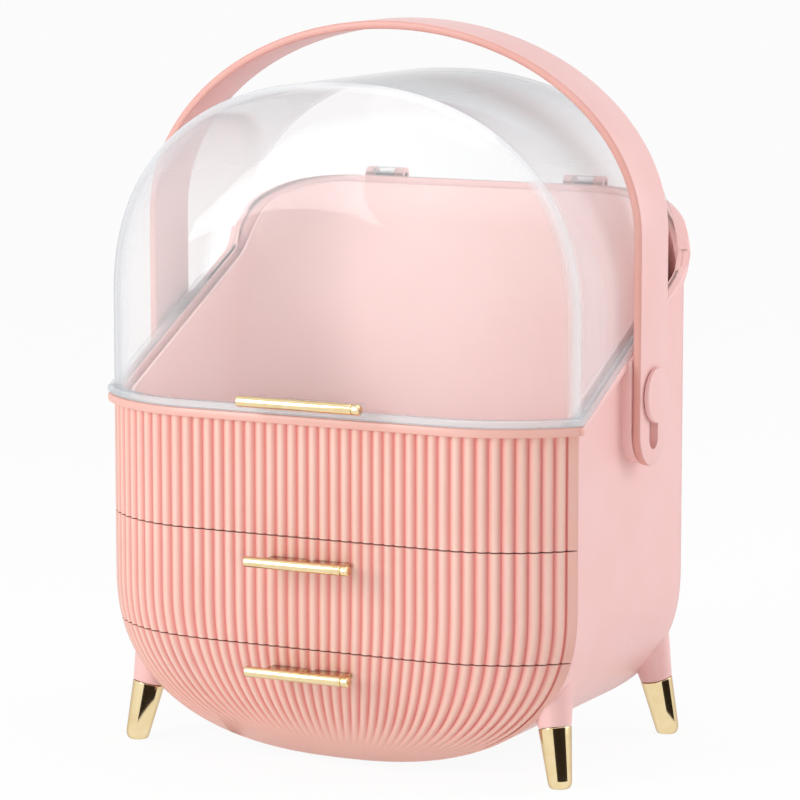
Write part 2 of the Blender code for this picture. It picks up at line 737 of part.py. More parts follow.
def build_upper_tray():
    """The open tray under the hood, standing on ledges inside the shell."""
    floor = TRAY_LEDGE_LOW + LEDGE_THICK + GAP
    block = body_solid(BODY, LINER_INSET, floor, SIDE_TOP, None, None)
    tray = make_object("upper_tray", block, MATERIALS["pink"], FRAME)
    inset = LINER_INSET + LINER_WALL
    hollow = body_solid(BODY, inset, floor + LINER_WALL, SIDE_TOP + REACH, None, None)
    boolean(tray, make_helper("tray_below_rim", rim_band(None, -GAP), FRAME), "INTERSECT")
    boolean(tray, make_helper("tray_hollow", hollow, FRAME), "DIFFERENCE")
    bores = bmesh.new()
    for _, x, y in tray_screw_places():
        low, high = floor - OVERRUN, floor + LINER_WALL + OVERRUN
        add_rod(bores, (x, y, low), (x, y, high), SCREW_RADIUS + SCREW_PLAY, SMALL_SIDES)
    for _, side in sides():
        wall = FRONT_FLAT + LINER_INSET
        start, end = (side * BOSS_X, wall - OVERRUN, BOSS_Z), (side * BOSS_X, wall + OVERRUN, BOSS_Z)
        add_rod(bores, start, end, SCREW_RADIUS + SCREW_PLAY, SMALL_SIDES)
    boolean(tray, make_helper("tray_bores", bores, FRAME), "DIFFERENCE")
    for name, x, y in tray_screw_places():
        screw = bmesh.new()
        head = (x, y, floor + LINER_WALL + GAP)
        add_screw(screw, head, (0, 0, -1), LINER_WALL + 2 * GAP + LEDGE_THICK, SCREW_RADIUS, SCREW_HEAD)
        make_object(f"tray_screw_{name}", screw, MATERIALS["steel"], FRAME)


def build_shelf():
    """The plate between the drawers, lying on its ledges."""
    low = shelf_level()
    front = SHELL_FRONT + SHELF_FRONT_GAP
    plate = body_solid(BODY, SHELL_WALL + SLIDE_GAP, low, low + SHELF_THICK, front, None)
    make_object("drawer_shelf", plate, MATERIALS["pink"], FRAME)


def pull_profile(length, radius):
    """Profile of a pull bar about its own axis: rounded ends and a fine groove near each."""
    half = length / 2
    groove = half - PULL_CAP
    right = (
        (groove - PULL_GROOVE, radius),
        (groove - PULL_GROOVE / 2, radius - PULL_GROOVE_DEPTH),
        (groove, radius),
        (half - PULL_ROUND, radius),
        (half, radius - PULL_ROUND),
        (half, 0),
    )
    return tuple((-x, r) for x, r in reversed(right)) + right


def bar_frame(y, z):
    """Turns a bar's own frame so that its axis runs along X at a place in front of the body."""
    return Matrix.Translation((0, y, z)) @ Matrix.Rotation(math.pi / 2, 4, "Y")


def build_pull(name, z, parent):
    """A drawer pull: a round bar whose two flat tongues reach back to the drawer's front."""
    bm = bmesh.new()
    add_turned(bm, pull_profile(PULL_LENGTH, PULL_RADIUS), bar_frame(PULL_Y, z), SMALL_SIDES)
    pull = make_object(name, bm, MATERIALS["gold"], parent)
    back = -CREASE - swell(BODY.depth(0, z), 0) - RIB_CREST - GAP
    tongues = bmesh.new()
    bores = bmesh.new()
    for _, side in sides():
        near, far = side * TONGUE_BREAK / 2, side * (TONGUE_BREAK / 2 + TONGUE_WIDTH)
        low = (min(near, far), PULL_Y + PULL_RADIUS - TONGUE_BITE, z - TONGUE_THICK / 2)
        add_box(tongues, low, (max(near, far), back, z + TONGUE_THICK / 2))
        x = (near + far) / 2
        radius = PULL_SCREW_RADIUS + SCREW_PLAY
        add_rod(bores, (x, back - PULL_SCREW_BITE, z), (x, back + OVERRUN, z), radius, SMALL_SIDES)
    boolean(pull, make_helper(f"{name}_tongues", tongues, parent), "UNION")
    boolean(pull, make_helper(f"{name}_bores", bores, parent), "DIFFERENCE")
    return back


def build_drawer(level, start, panel_start, panel_end, tray_end, pull_z):
    """One drawer: ribbed front, tray, pull and the two screws that hold the three together."""
    axis = make_empty(f"{level}_drawer_slide_axis", (0, -CREASE, pull_z), FRAME)
    panel = front_panel(panel_start, panel_end, 0, FRONT_WALL, True)
    front = make_object(f"{level}_drawer_front", panel, MATERIALS["pink"], axis)
    inset = SHELL_WALL + SLIDE_GAP
    tray_face = FRONT_WALL + 2 * GAP
    solid = drawer_solid(inset, tray_face, start, tray_end, TRAY_BACK)
    tray = make_object(f"{level}_drawer_tray", solid, MATERIALS["pink"], axis)
    floor = None if start is None else start + TRAY_WALL
    hollow = drawer_solid(
        inset + TRAY_WALL, tray_face + TRAY_WALL, floor, tray_end + OVERRUN, TRAY_BACK - TRAY_WALL
    )
    boolean(tray, make_helper(f"{level}_drawer_hollow", hollow, axis), "DIFFERENCE")
    back = build_pull(f"{level}_drawer_pull", pull_z, axis)
    inside = -CREASE - swell(BODY.depth(0, pull_z), tray_face + TRAY_WALL)
    bores = bmesh.new()
    for name, side in sides():
        x = side * (TONGUE_BREAK + TONGUE_WIDTH) / 2
        radius = PULL_SCREW_RADIUS + SCREW_PLAY
        add_rod(bores, (x, back - OVERRUN, pull_z), (x, inside + OVERRUN, pull_z), radius, SMALL_SIDES)
        screw = bmesh.new()
        head = (x, inside + 3 * GAP, pull_z)
        length = head[1] - back + PULL_SCREW_BITE - GAP
        add_screw(screw, head, (0, -1, 0), length, PULL_SCREW_RADIUS, SCREW_HEAD)
        make_object(f"{level}_pull_screw_{name}", screw, MATERIALS["steel"], axis)
    helper = make_helper(f"{level}_front_bores", bores, axis)
    boolean(front, helper, "DIFFERENCE")
    boolean(tray, helper, "DIFFERENCE")


def drawer_solid(inset, face, start, end, back):
    """The outside, or the hollow, of a drawer's tray: swollen in front and flat at the back."""
    bm = bmesh.new()
    shares = smooth_shares()
    loops = []
    for half, z in BODY.rows(inset, start, end):
        row = face_row(BODY, half, z, face, shares, -1)
        for point in row:
            point.y = min(point.y, -CREASE)
        row += [Vector((half, back, z)), Vector((-half, back, z))]
        loops.append([bm.verts.new(point) for point in row])
    for low, high in zip(loops, loops[1:]):
        for number in range(len(low)):
            after = (number + 1) % len(low)
            bm.faces.new((low[number], low[after], high[after], high[number]))
    bm.faces.new(loops[-1])
    if start is not None:
        bm.faces.new(list(reversed(loops[0])))
    return close_up(bm)


def build_drawers():
    """Both drawers."""
    half_seam = SEAM_GAP / 2
    lower_end = LOWER_SEAM - half_seam
    build_drawer("lower", None, None, lower_end, LOWER_TRAY_TOP, LOWER_PULL_Z)
    floor = shelf_level() + SHELF_THICK + GAP
    upper_end = UPPER_SEAM - half_seam
    tray_end = UPPER_SEAM - UPPER_TRAY_DROP
    build_drawer("upper", floor, LOWER_SEAM + half_seam, upper_end, tray_end, UPPER_PULL_Z)


def build_hood():
    """The clear hood with its flange, pull tab and hinge knuckles, and the bar on the tab."""
    axis = make_empty("hood_hinge_axis", (0, HINGE_Y, HINGE_Z), FRAME)
    low = RIM_FRONT - REACH
    hood = make_object("hood_shell", body_solid(HOOD, 0, None, low, None, None), MATERIALS["clear"], axis)
    flange_block = body_solid(BODY, -FLANGE_OUT, low, SIDE_TOP, None, None)
    flange = make_helper("hood_flange_block", flange_block, axis)
    band = rim_band(-FLANGE_HEIGHT, GAP + FLANGE_HEIGHT)
    boolean(flange, make_helper("flange_band", band, axis), "INTERSECT")
    boolean(hood, flange, "UNION")
    boolean(hood, make_helper("hood_below_rim", rim_band(None, GAP), axis), "DIFFERENCE")
    hollow = body_solid(HOOD, HOOD_WALL, None, low - REACH, None, None)
    boolean(hood, make_helper("hood_hollow", hollow, axis), "DIFFERENCE")
    additions = bmesh.new()
    tab_front = HOOD_PULL_Y + HOOD_PULL_RADIUS - HOOD_TAB_BITE
    tab_low = (-HOOD_TAB_HALF, tab_front, HOOD_PULL_Z - HOOD_TAB_THICK / 2)
    tab_high = (HOOD_TAB_HALF, FRONT_FLAT + HOOD_WALL / 2, HOOD_PULL_Z + HOOD_TAB_THICK / 2)
    add_box(additions, tab_low, tab_high)
    for _, side in sides():
        start = side * HINGE_X - KNUCKLE_LENGTH / 2
        add_side_prism(additions, hinge_web(1), start, start + KNUCKLE_LENGTH)
    boolean(hood, make_helper("hood_additions", additions, axis), "UNION")
    boolean(hood, hinge_bores(axis, "hood_hinge_bores"), "DIFFERENCE")
    bar = bmesh.new()
    profile = pull_profile(HOOD_PULL_LENGTH, HOOD_PULL_RADIUS)
    add_turned(bar, profile, bar_frame(HOOD_PULL_Y, HOOD_PULL_Z), ROUND_SIDES)
    pull = make_object("hood_pull_bar", bar, MATERIALS["gold"], axis)
    slot = bmesh.new()
    reach = HOOD_TAB_THICK / 2 + GAP
    slot_low = (-HOOD_TAB_HALF - GAP, tab_front - GAP, HOOD_PULL_Z - reach)
    add_box(slot, slot_low, (HOOD_TAB_HALF + GAP, FRONT_FLAT, HOOD_PULL_Z + reach))
    boolean(pull, make_helper("hood_pull_slot", slot, axis), "DIFFERENCE")
    for name, side in sides():
        pin = bmesh.new()
        reach = KNUCKLE_LENGTH / 2 + KNUCKLE_GAP + LUG_LENGTH
        middle = side * HINGE_X
        start, end = (middle - reach, HINGE_Y, HINGE_Z), (middle + reach, HINGE_Y, HINGE_Z)
        add_rod(pin, start, end, HINGE_PIN_RADIUS, SMALL_SIDES)
        make_object(f"hinge_pin_{name}", pin, MATERIALS["steel"], FRAME)


def handle_path():
    """Middle line of the band, as (place, outward direction, half width), from the left end to the right."""
    half = HANDLE_HALF - HANDLE_THICK / 2
    width = HANDLE_WIDTH / 2
    rise = HANDLE_TOP - HANDLE_THICK / 2 - HANDLE_SPRING
    leg = []
    for step in range(1, HANDLE_END_STEPS + 1):
        angle = math.pi / 2 * step / HANDLE_END_STEPS
        leg.append((HANDLE_LOW + width * (1 - math.cos(angle)), width * math.sin(angle)))
    path = [(Vector((-half, PIVOT_Y, z)), Vector((-1, 0, 0)), w) for z, w in leg]
    for step in range(HANDLE_STEPS + 1):
        angle = math.pi * step / HANDLE_STEPS
        across, up = math.cos(angle), math.sin(angle)
        place = Vector((-half * across, PIVOT_Y, HANDLE_SPRING + rise * up))
        outward = Vector((-across * rise, 0, up * half)).normalized()
        path.append((place, outward, width))
    path += [(Vector((half, PIVOT_Y, z)), Vector((1, 0, 0)), w) for z, w in reversed(leg)]
    return path


def handle_band():
    """The band swept along its path, with its edges eased."""
    bm = bmesh.new()
    rings = []
    for place, outward, width in handle_path():
        flat, edge = HANDLE_THICK / 2, HANDLE_EDGE
        section = [(flat, edge - width), (flat, width - edge), (flat - edge, width), (edge - flat, width)]
        section += [(-out, -along) for out, along in section]
        rings.append([bm.verts.new(place + outward * out + Vector((0, along, 0))) for out, along in section])
    for one, two in zip(rings, rings[1:]):
        for number in range(len(one)):
            after = (number + 1) % len(one)
            bm.faces.new((one[number], one[after], two[after], two[number]))
    bm.faces.new(rings[0])
    bm.faces.new(list(reversed(rings[-1])))
    return bm


def x_frame(side):
    """Turns a turned piece's own frame so that its axis runs outward along X at the pivots."""
    return Matrix.Translation((0, PIVOT_Y, PIVOT_Z)) @ Matrix.Rotation(side * math.pi / 2, 4, "Y")


def build_handle():
    """The carry handle, and the pivot disc and screw that hold it on each side."""
    swing = make_empty("handle_swing_axis", (0, PIVOT_Y, PIVOT_Z), FRAME)
    lift = make_empty("handle_lift_axis", (0, PIVOT_Y, PIVOT_Z), swing)
    band = make_object("handle_band", handle_band(), MATERIALS["pink"], lift)
    slots = bmesh.new()
    outline = stadium(PIVOT_Y, PIVOT_Z - SLOT_TRAVEL, PIVOT_Z, PIVOT_RADIUS + GAP, SMALL_SIDES)
    for _, side in sides():
        start, end = side * (HANDLE_HALF - HANDLE_THICK - OVERRUN), side * (HANDLE_HALF + OVERRUN)
        add_side_prism(slots, outline, *sorted((start, end)))
    boolean(band, make_helper("handle_slots", slots, lift), "DIFFERENCE")
    wall = HALF_WIDTH - SHELL_WALL
    shaft_end = wall + GAP
    screw_tip = shaft_end + PIVOT_SCREW_BITE
    face = DISC_FACE - DISC_THICK
    bore = PIVOT_SCREW_RADIUS + SCREW_PLAY
    disc_profile = (
        (DISC_FACE, 0),
        (DISC_FACE, DISC_RADIUS - 2 * DISC_EDGE),
        (DISC_FACE - DISC_EDGE / 2, DISC_RADIUS - DISC_EDGE / 2),
        (DISC_FACE - DISC_EDGE, DISC_RADIUS),
        (face, DISC_RADIUS),
        (face, PIVOT_RADIUS),
        (shaft_end, PIVOT_RADIUS),
        (shaft_end, bore),
        (screw_tip + GAP, bore),
        (screw_tip + GAP, 0),
    )
    head = wall - GAP
    screw_profile = (
        (head - PIVOT_HEAD_THICK, 0),
        (head - PIVOT_HEAD_THICK, PIVOT_HEAD - PIVOT_HEAD_THICK / 2),
        (head - PIVOT_HEAD_THICK / 2, PIVOT_HEAD),
        (head, PIVOT_HEAD),
        (head, PIVOT_SCREW_RADIUS),
        (screw_tip, PIVOT_SCREW_RADIUS),
        (screw_tip, 0),
    )
    for name, side in sides():
        disc = bmesh.new()
        add_turned(disc, disc_profile, x_frame(side), ROUND_SIDES)
        make_object(f"pivot_disc_{name}", disc, MATERIALS["pink"], swing)
        screw = bmesh.new()
        add_turned(screw, screw_profile, x_frame(side), SMALL_SIDES)
        make_object(f"pivot_screw_{name}", screw, MATERIALS["steel"], swing)


def build_legs():
    """Gold leg tips, each held under its boss by a threaded stud."""
    low = TIP_FOOT_ROUND
    bore = STUD_RADIUS + SCREW_PLAY
    profile = (
        (0, 0),
        (0, TIP_FOOT),
        (low / 4, (TIP_FOOT + TIP_LOW_RADIUS) / 2),
        (low, TIP_LOW_RADIUS),
        (TIP_LENGTH, TIP_TOP_RADIUS),
        (TIP_LENGTH, bore),
        (TIP_LENGTH - STUD_HALF - GAP, bore),
        (TIP_LENGTH - STUD_HALF - GAP, 0),
    )
    for name, side, end in corners():
        place = leg_frame(side, end)
        tip = bmesh.new()
        add_turned(tip, profile, place, ROUND_SIDES)
        for vert in tip.verts:
            vert.co.z = max(vert.co.z, 0)
        make_object(f"leg_tip_{name}", tip, MATERIALS["gold"], FRAME)
        stud = bmesh.new()
        start = place @ Vector((0, 0, TIP_LENGTH - STUD_HALF))
        stop = place @ Vector((0, 0, TIP_LENGTH + STUD_HALF))
        add_rod(stud, start, stop, STUD_RADIUS, SMALL_SIDES)
        make_object(f"leg_stud_{name}", stud, MATERIALS["steel"], FRAME)


for old in list(bpy.data.objects):
    bpy.data.objects.remove(old, do_unlink=True)

MATERIALS = {
    "pink": make_material("pink_plastic", PINK, 0.45),
    "pale_pink": make_material("pale_pink_plastic", PALE_PINK, 0.45),
    "gold": make_material("gold_plating", GOLD, 0.15, metallic=1.0),
    "clear": make_material("clear_plastic", CLEAR, 0.05, transmission=0.9),
    "steel": make_material("steel", STEEL, 0.35, metallic=1.0),
}
BODY = Outline(BELLY_LOW, BELLY_TOP, BELLY_POWER, BELLY_ROWS)
HOOD = Outline(HOOD_TOP, HOOD_SPRING, HOOD_POWER, HOOD_ROWS)
FRAME = make_empty("organizer_frame", (0, 0, 0))

build_shell()
build_fascia()
build_upper_tray()
build_shelf()
build_drawers()
build_hood()
build_handle()
build_legs()

FRAME.location = (0, FRAME_SHIFT, 0)
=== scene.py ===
# %% [markdown]
# # A dustproof makeup organizer
#
# A salmon-pink moulded box stands on four short legs with gold tips. A clear hood covers its tray, two
# drawers slide out of its ribbed front, and a carry handle swings on its sides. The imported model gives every
# piece its place. This file rebuilds what the eye sees as smooth pieces in the same places, gives each its
# real finish, and lights the whole like a plain studio picture.

# %% The frame
import math

import bmesh
import bpy
import numpy as np
from mathutils import Matrix, Vector


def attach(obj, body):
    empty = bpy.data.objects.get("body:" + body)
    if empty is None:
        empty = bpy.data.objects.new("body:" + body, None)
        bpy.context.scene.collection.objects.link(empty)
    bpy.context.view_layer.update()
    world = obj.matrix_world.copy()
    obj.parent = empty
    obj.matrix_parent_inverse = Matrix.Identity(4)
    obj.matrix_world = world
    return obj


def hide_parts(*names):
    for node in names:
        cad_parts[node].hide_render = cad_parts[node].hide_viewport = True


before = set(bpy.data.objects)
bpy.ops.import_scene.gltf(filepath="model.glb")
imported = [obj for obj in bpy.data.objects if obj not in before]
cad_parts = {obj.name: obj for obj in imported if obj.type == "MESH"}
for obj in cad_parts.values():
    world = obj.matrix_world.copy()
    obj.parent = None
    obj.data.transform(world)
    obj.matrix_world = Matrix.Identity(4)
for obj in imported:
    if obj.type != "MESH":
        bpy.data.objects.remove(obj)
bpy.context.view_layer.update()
MM = 0.001

# %% [markdown]
# ## Sizes
#
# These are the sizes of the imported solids, in millimetres turned to metres. The front faces -Y, and the
# middle of the box's flat sides lies a little behind the middle of the whole, because the pulls stand out in
# front. Keeping the same values as the solids is what makes each new piece fall exactly on the old one.

# %% Sizes of the box and its outlines
SHIFT = 3.825 * MM
HALF_WIDTH = 136 * MM
FLAT_HALF = 73 * MM
BULGE = 30.9 * MM
CREASE = 68 * MM
SHELL_WALL = 3 * MM
FRONT_WALL = 2.4 * MM
HOOD_WALL = 2 * MM
SEAM_GAP = 0.5 * MM
GAP = 0.3 * MM
BELLY_END, BELLY_SPRING, BELLY_POWER = 3 * MM, 94 * MM, 2.4
CROWN_END, CROWN_SPRING, CROWN_POWER = 358.5 * MM, 240.6 * MM, 2.24
LOWER_SEAM, UPPER_SEAM = 66.6 * MM, 125.2 * MM
RIM_FRONT, RIM_BACK, RIM_KNEE, RIM_SLOPE = 188.9 * MM, 295 * MM, 58 * MM, 0.4986
RIM_REAR_SHARES = ((0, 0), (0.14, 0.13), (0.25, 0.38), (0.34, 0.6), (0.5, 0.76), (0.72, 0.91), (1, 1))
LIP_OUT, LIP_HEIGHT = 3.5 * MM, 4.5 * MM
PIVOT_Y, PIVOT_Z = 5.3 * MM, 196.3 * MM
ARC_RUN = HALF_WIDTH - FLAT_HALF
ARC_RADIUS = (ARC_RUN**2 + BULGE**2) / (2 * BULGE)
ARC_DROP = ARC_RADIUS - BULGE
ARC_TURN = math.asin(ARC_RUN / ARC_RADIUS)
print("front corner radius:", round(ARC_RADIUS / MM, 1), "mm")

# %% [markdown]
# ## The two outlines
#
# Seen from the front, the belly of the box and the crown of the hood are both superellipses, the curve of a
# squircle: fuller than an ellipse, softer than a rounded rectangle. One small class keeps such a curve as a
# list of points and answers two questions: how wide is the box at a height, and how deep inside the outline
# does a point lie. The second gives the swell of the front and back faces, which fall away in an arc towards
# the edge.

# %% An outline that knows its own width and depth
OUTLINE_STEPS, FAR = 90, 1.0


class Outline:
    """Half of a front-view outline, from its end on the middle plane to the straight sides."""

    def __init__(self, end, spring, power):
        self.end, self.spring, self.power = end, spring, power
        heights = end + (spring - end) * np.linspace(0, 1, OUTLINE_STEPS) ** 2
        beyond = spring + math.copysign(FAR, spring - end)
        self.points = np.array([(self.width(z), z) for z in heights] + [(HALF_WIDTH, beyond)])

    def width(self, z):
        """Half width at a height."""
        share = min(max((self.spring - z) / (self.spring - self.end), 0), 1)
        return HALF_WIDTH * (1 - share**self.power) ** (1 / self.power)

    def depth(self, x, z):
        """How far inside the outline a point lies."""
        point = np.array((abs(x), z))
        one, two = self.points[:-1], self.points[1:]
        along = two - one
        share = ((point - one) * along).sum(1) / (along**2).sum(1)
        gap = point - one - along * np.clip(share, 0, 1)[:, None]
        return float(np.sqrt((gap**2).sum(1).min()))


def swell(depth, inset=0.0):
    """How far a front or back face stands out from the crease plane at a depth inside the outline."""
    run = max(ARC_RUN - depth, 0)
    return math.sqrt(max((ARC_RADIUS - inset) ** 2 - run**2, 0)) - ARC_DROP


BELLY = Outline(BELLY_END, BELLY_SPRING, BELLY_POWER)
CROWN = Outline(CROWN_END, CROWN_SPRING, CROWN_POWER)
print("half width of the hood at the hinge:", round(CROWN.width(RIM_BACK) / MM, 1), "mm")

# %% [markdown]
# ## The slanted rim
#
# The rim where hood and box meet is level across the front, climbs straight along the sides and sweeps up
# to the hinge at the back. A smooth curve through the few known points keeps that sweep free of corners.

# %% Height of the rim at any distance from front to back
STRAIGHT_PARTS = 2


def rim_knots():
    """(y, z) points of the rim, front to back."""
    back = CREASE + BULGE + LIP_OUT
    knee = RIM_FRONT + RIM_SLOPE * (RIM_KNEE + CREASE)
    knots = [(-CREASE - 2 * BULGE, RIM_FRONT), (-CREASE, RIM_FRONT)]
    for along, up in RIM_REAR_SHARES:
        knots.append((RIM_KNEE + (back - RIM_KNEE) * along, knee + (RIM_BACK - knee) * up))
    return knots + [(back + BULGE, RIM_BACK)]


def knot_slope(number):
    """Slope of the rim at a knot, which is level at the last one."""
    if number == len(RIM) - 1:
        return 0
    (y0, z0), (y1, z1) = RIM[number - 1], RIM[number + 1]
    return (z1 - z0) / (y1 - y0)


def rim_height(y):
    """Height of the rim, with the sweep at the back eased by a cubic curve."""
    for number, ((y0, z0), (y1, z1)) in enumerate(zip(RIM, RIM[1:])):
        if y0 <= y <= y1:
            run = y1 - y0
            share = (y - y0) / run
            if number < STRAIGHT_PARTS:
                return z0 + (z1 - z0) * share
            a, b = share**2, share**3
            start = (2 * b - 3 * a + 1) * z0 + (b - 2 * a + share) * run * knot_slope(number)
            return start + (3 * a - 2 * b) * z1 + (b - a) * run * knot_slope(number + 1)
    return RIM_BACK


RIM = rim_knots()
places = (-CREASE, 0, CREASE + BULGE)
print("rim at the front, the middle and the back:", [round(rim_height(y) / MM) for y in places])

# %% [markdown]
# ## Small tools for meshes
#
# Every large piece is a sheet of quads: rows of points joined by faces. Sheets that share an edge are merged
# there, a Solidify modifier gives them their wall, and a Bevel rounds the edges as a mould does. The
# modifiers are applied at once, so each finished piece is one plain mesh that stands in world coordinates.

# %% Sheets, solids and shading
MERGE = 0.002 * MM


def smooth_step(value, low, high):
    """0 below low, 1 above high, and an eased climb between them."""
    share = min(max((value - low) / (high - low), 0), 1)
    return share * share * (3 - 2 * share)


def add_sheet(bm, rows, closed=False):
    """Joins rows of points with quads and returns the grid of vertices."""
    grid = [[bm.verts.new(point) for point in row] for row in rows]
    for low, high in zip(grid, grid[1:]):
        for number in range(len(low) if closed else len(low) - 1):
            after = (number + 1) % len(low)
            bm.faces.new((low[number], low[after], high[after], high[number]))
    return grid


def add_tube(bm, rings):
    """Joins rings of points into a tube and closes its two ends."""
    grid = add_sheet(bm, rings, closed=True)
    bm.faces.new(grid[0])
    bm.faces.new(list(reversed(grid[-1])))


def add_prism(bm, points, low, high):
    """A prism along X over (y, z) points."""
    add_tube(bm, [[(x, y, z) for y, z in points] for x in (low, high)])


def to_object(name, bm, material, move=True):
    """Cleans a mesh, turns its faces outward, puts it in its place and links it."""
    bmesh.ops.remove_doubles(bm, verts=bm.verts, dist=MERGE)
    bmesh.ops.dissolve_degenerate(bm, edges=bm.edges, dist=MERGE)
    bmesh.ops.recalc_face_normals(bm, faces=bm.faces)
    if move:
        bmesh.ops.translate(bm, verts=bm.verts, vec=(0, SHIFT, 0))
    mesh = bpy.data.meshes.new(name)
    bm.to_mesh(mesh)
    bm.free()
    piece = bpy.data.objects.new(name, mesh)
    bpy.context.scene.collection.objects.link(piece)
    mesh.materials.append(material)
    return piece


def bake(piece):
    """Applies every modifier and keeps the result as the piece's own mesh."""
    graph = bpy.context.evaluated_depsgraph_get()
    mesh = bpy.data.meshes.new_from_object(piece.evaluated_get(graph))
    piece.modifiers.clear()
    old, piece.data = piece.data, mesh
    bpy.data.meshes.remove(old)
    return piece


def thicken(piece, wall):
    """Gives a sheet its wall on the inner side."""
    solid = piece.modifiers.new("wall", "SOLIDIFY")
    solid.thickness = wall
    solid.offset = -1
    return bake(piece)


def ease(piece, width, steps, angle):
    """Rounds the edges sharper than an angle."""
    bevel = piece.modifiers.new("ease", "BEVEL")
    bevel.width = width
    bevel.segments = steps
    bevel.limit_method = "ANGLE"
    bevel.angle_limit = math.radians(angle)
    bevel.use_clamp_overlap = True
    return bake(piece)


def shade(piece, angle=40):
    """Smooth shading, with edges sharper than an angle kept crisp."""
    bm = bmesh.new()
    bm.from_mesh(piece.data)
    for face in bm.faces:
        face.smooth = True
    for edge in bm.edges:
        edge.smooth = len(edge.link_faces) == 2 and edge.calc_face_angle(0) < math.radians(angle)
    bm.to_mesh(piece.data)
    bm.free()
    return piece


def finish_piece(piece, body, *nodes):
    """Rides a finished piece on its body in place of the solids that it stands for."""
    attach(piece, body)
    if nodes:
        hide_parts(*nodes)
    print(piece.name, len(piece.data.polygons), "faces on", body)


print("points nearer than", MERGE / MM, "mm become one")

# %% [markdown]
# ## Finishes
#
# The pink parts are injection-moulded ABS. A polished but not mirror-bright mould gives them a satin face:
# the highlight is soft, and close up the skin has a faint grain and slow, barely seen changes of tone. The
# colour is set as a hex value, as a paint chart would give it, and one function turns it to linear light.
# The scales of the noise are counts per metre, so 25 gives patches 40 mm across.

# %% Colours, nodes and satin ABS
PATCHES, GRAIN, SMEARS = 25.0, 1900.0, 60.0


def colour(text):
    """An sRGB hex value as linear red, green, blue and alpha."""
    parts = [int(text[n : n + 2], 16) / 255 for n in (0, 2, 4)]
    return tuple(c / 12.92 if c <= 0.04045 else ((c + 0.055) / 1.055) ** 2.4 for c in parts) + (1.0,)


def node(tree, kind, values=()):
    """Adds one node. A value goes to the socket of that title or number, where another node's output becomes
    a link, or else to the node's attribute. The value stops gives a colour ramp its places and tones."""
    made = tree.nodes.new(kind)
    for name, value in dict(values).items():
        if name == "stops":
            elements = made.color_ramp.elements
            while len(elements) < len(value):
                elements.new(0.5)
            for element, (place, tone) in zip(elements, value):
                element.position = place
                element.color = colour(tone)
        elif not isinstance(name, int) and name not in made.inputs:
            setattr(made, name, value)
        elif isinstance(value, bpy.types.NodeSocket):
            tree.links.new(value, made.inputs[name])
        else:
            made.inputs[name].default_value = value
    return made


def new_material(name, tone):
    """An empty node material with a colour for the solid view, and its node tree."""
    material = bpy.data.materials.new(name)
    material.use_nodes = True
    material.node_tree.nodes.clear()
    material.diffuse_color = colour(tone)
    return material, material.node_tree


def moulded_abs(name, light, dark, roughness, valley_shade=None):
    """Satin ABS: slow tone changes and a fine moulded grain of about half a millimetre.

    With a colour for the grooves, the tone turns towards it down each rib as the value crest falls: painted
    shade in the grooves."""
    material, tree = new_material(name, light)
    place = node(tree, "ShaderNodeTexCoord").outputs["Object"]
    slow, fine, smear = [
        node(tree, "ShaderNodeTexNoise", {"Scale": scale, "Detail": detail, "Vector": place}).outputs["Fac"]
        for scale, detail in ((PATCHES, 3.0), (GRAIN, 2.0), (SMEARS, 4.0))
    ]
    tones = {"Fac": slow, "stops": ((0.3, dark), (0.7, light))}
    tone = node(tree, "ShaderNodeValToRGB", tones).outputs["Color"]
    # Painted shade: the grooves between the ribs are darkened towards the groove colour.
    if valley_shade:
        height = node(tree, "ShaderNodeAttribute", {"attribute_name": "crest"}).outputs["Fac"]
        mix = {"data_type": "RGBA", 0: height, 6: colour(valley_shade), 7: tone}
        tone = node(tree, "ShaderNodeMix", mix).outputs[2]
    bump = node(tree, "ShaderNodeBump", {"Strength": 0.07, "Distance": 0.05 * MM, "Height": fine})
    spread = {"To Min": roughness - 0.04, "To Max": roughness + 0.05, "Value": smear}
    rough = node(tree, "ShaderNodeMapRange", spread).outputs["Result"]
    look = {"IOR": 1.53, "Coat Weight": 0.1, "Coat Roughness": 0.2}
    look |= {"Base Color": tone, "Roughness": rough, "Normal": bump.outputs["Normal"]}
    skin = node(tree, "ShaderNodeBsdfPrincipled", look)
    node(tree, "ShaderNodeOutputMaterial", {"Surface": skin.outputs["BSDF"]})
    return material


pink_abs = moulded_abs("salmon_abs_satin", "E7B4A9", "E4AEA2", 0.4)
# Its last colour is painted shade for the grooves between the ribs.
rib_abs = moulded_abs("ribbed_salmon_abs_valley_shade", "EBC7B9", "E8C1B2", 0.4, valley_shade="DF8C85")
pale_abs = moulded_abs("pale_salmon_abs_satin", "EEC3C0", "ECBDB9", 0.42)
# A deeper pink that paints shade on the narrow edges of the handle.
edge_shade_abs = moulded_abs("salmon_abs_edge_shade", "DFA79D", "DB9E93", 0.45)
inner_abs = moulded_abs("inner_tray_abs_satin", "F4D0CB", "F2CAC4", 0.45)
print("pink finishes:", pink_abs.name, rib_abs.name, pale_abs.name, edge_shade_abs.name, inner_abs.name)

# %% [markdown]
# The pulls and leg tips are plated: a thin bright gold layer over polished metal or plastic. Plating mirrors
# the room, so its look is mostly reflection. Fine wiping marks, which only change the roughness a little,
# keep it from looking computed. The screws and pins are zinc-plated steel, duller and cooler.

# %% Plated metals
WIPING_MARKS = 120.0


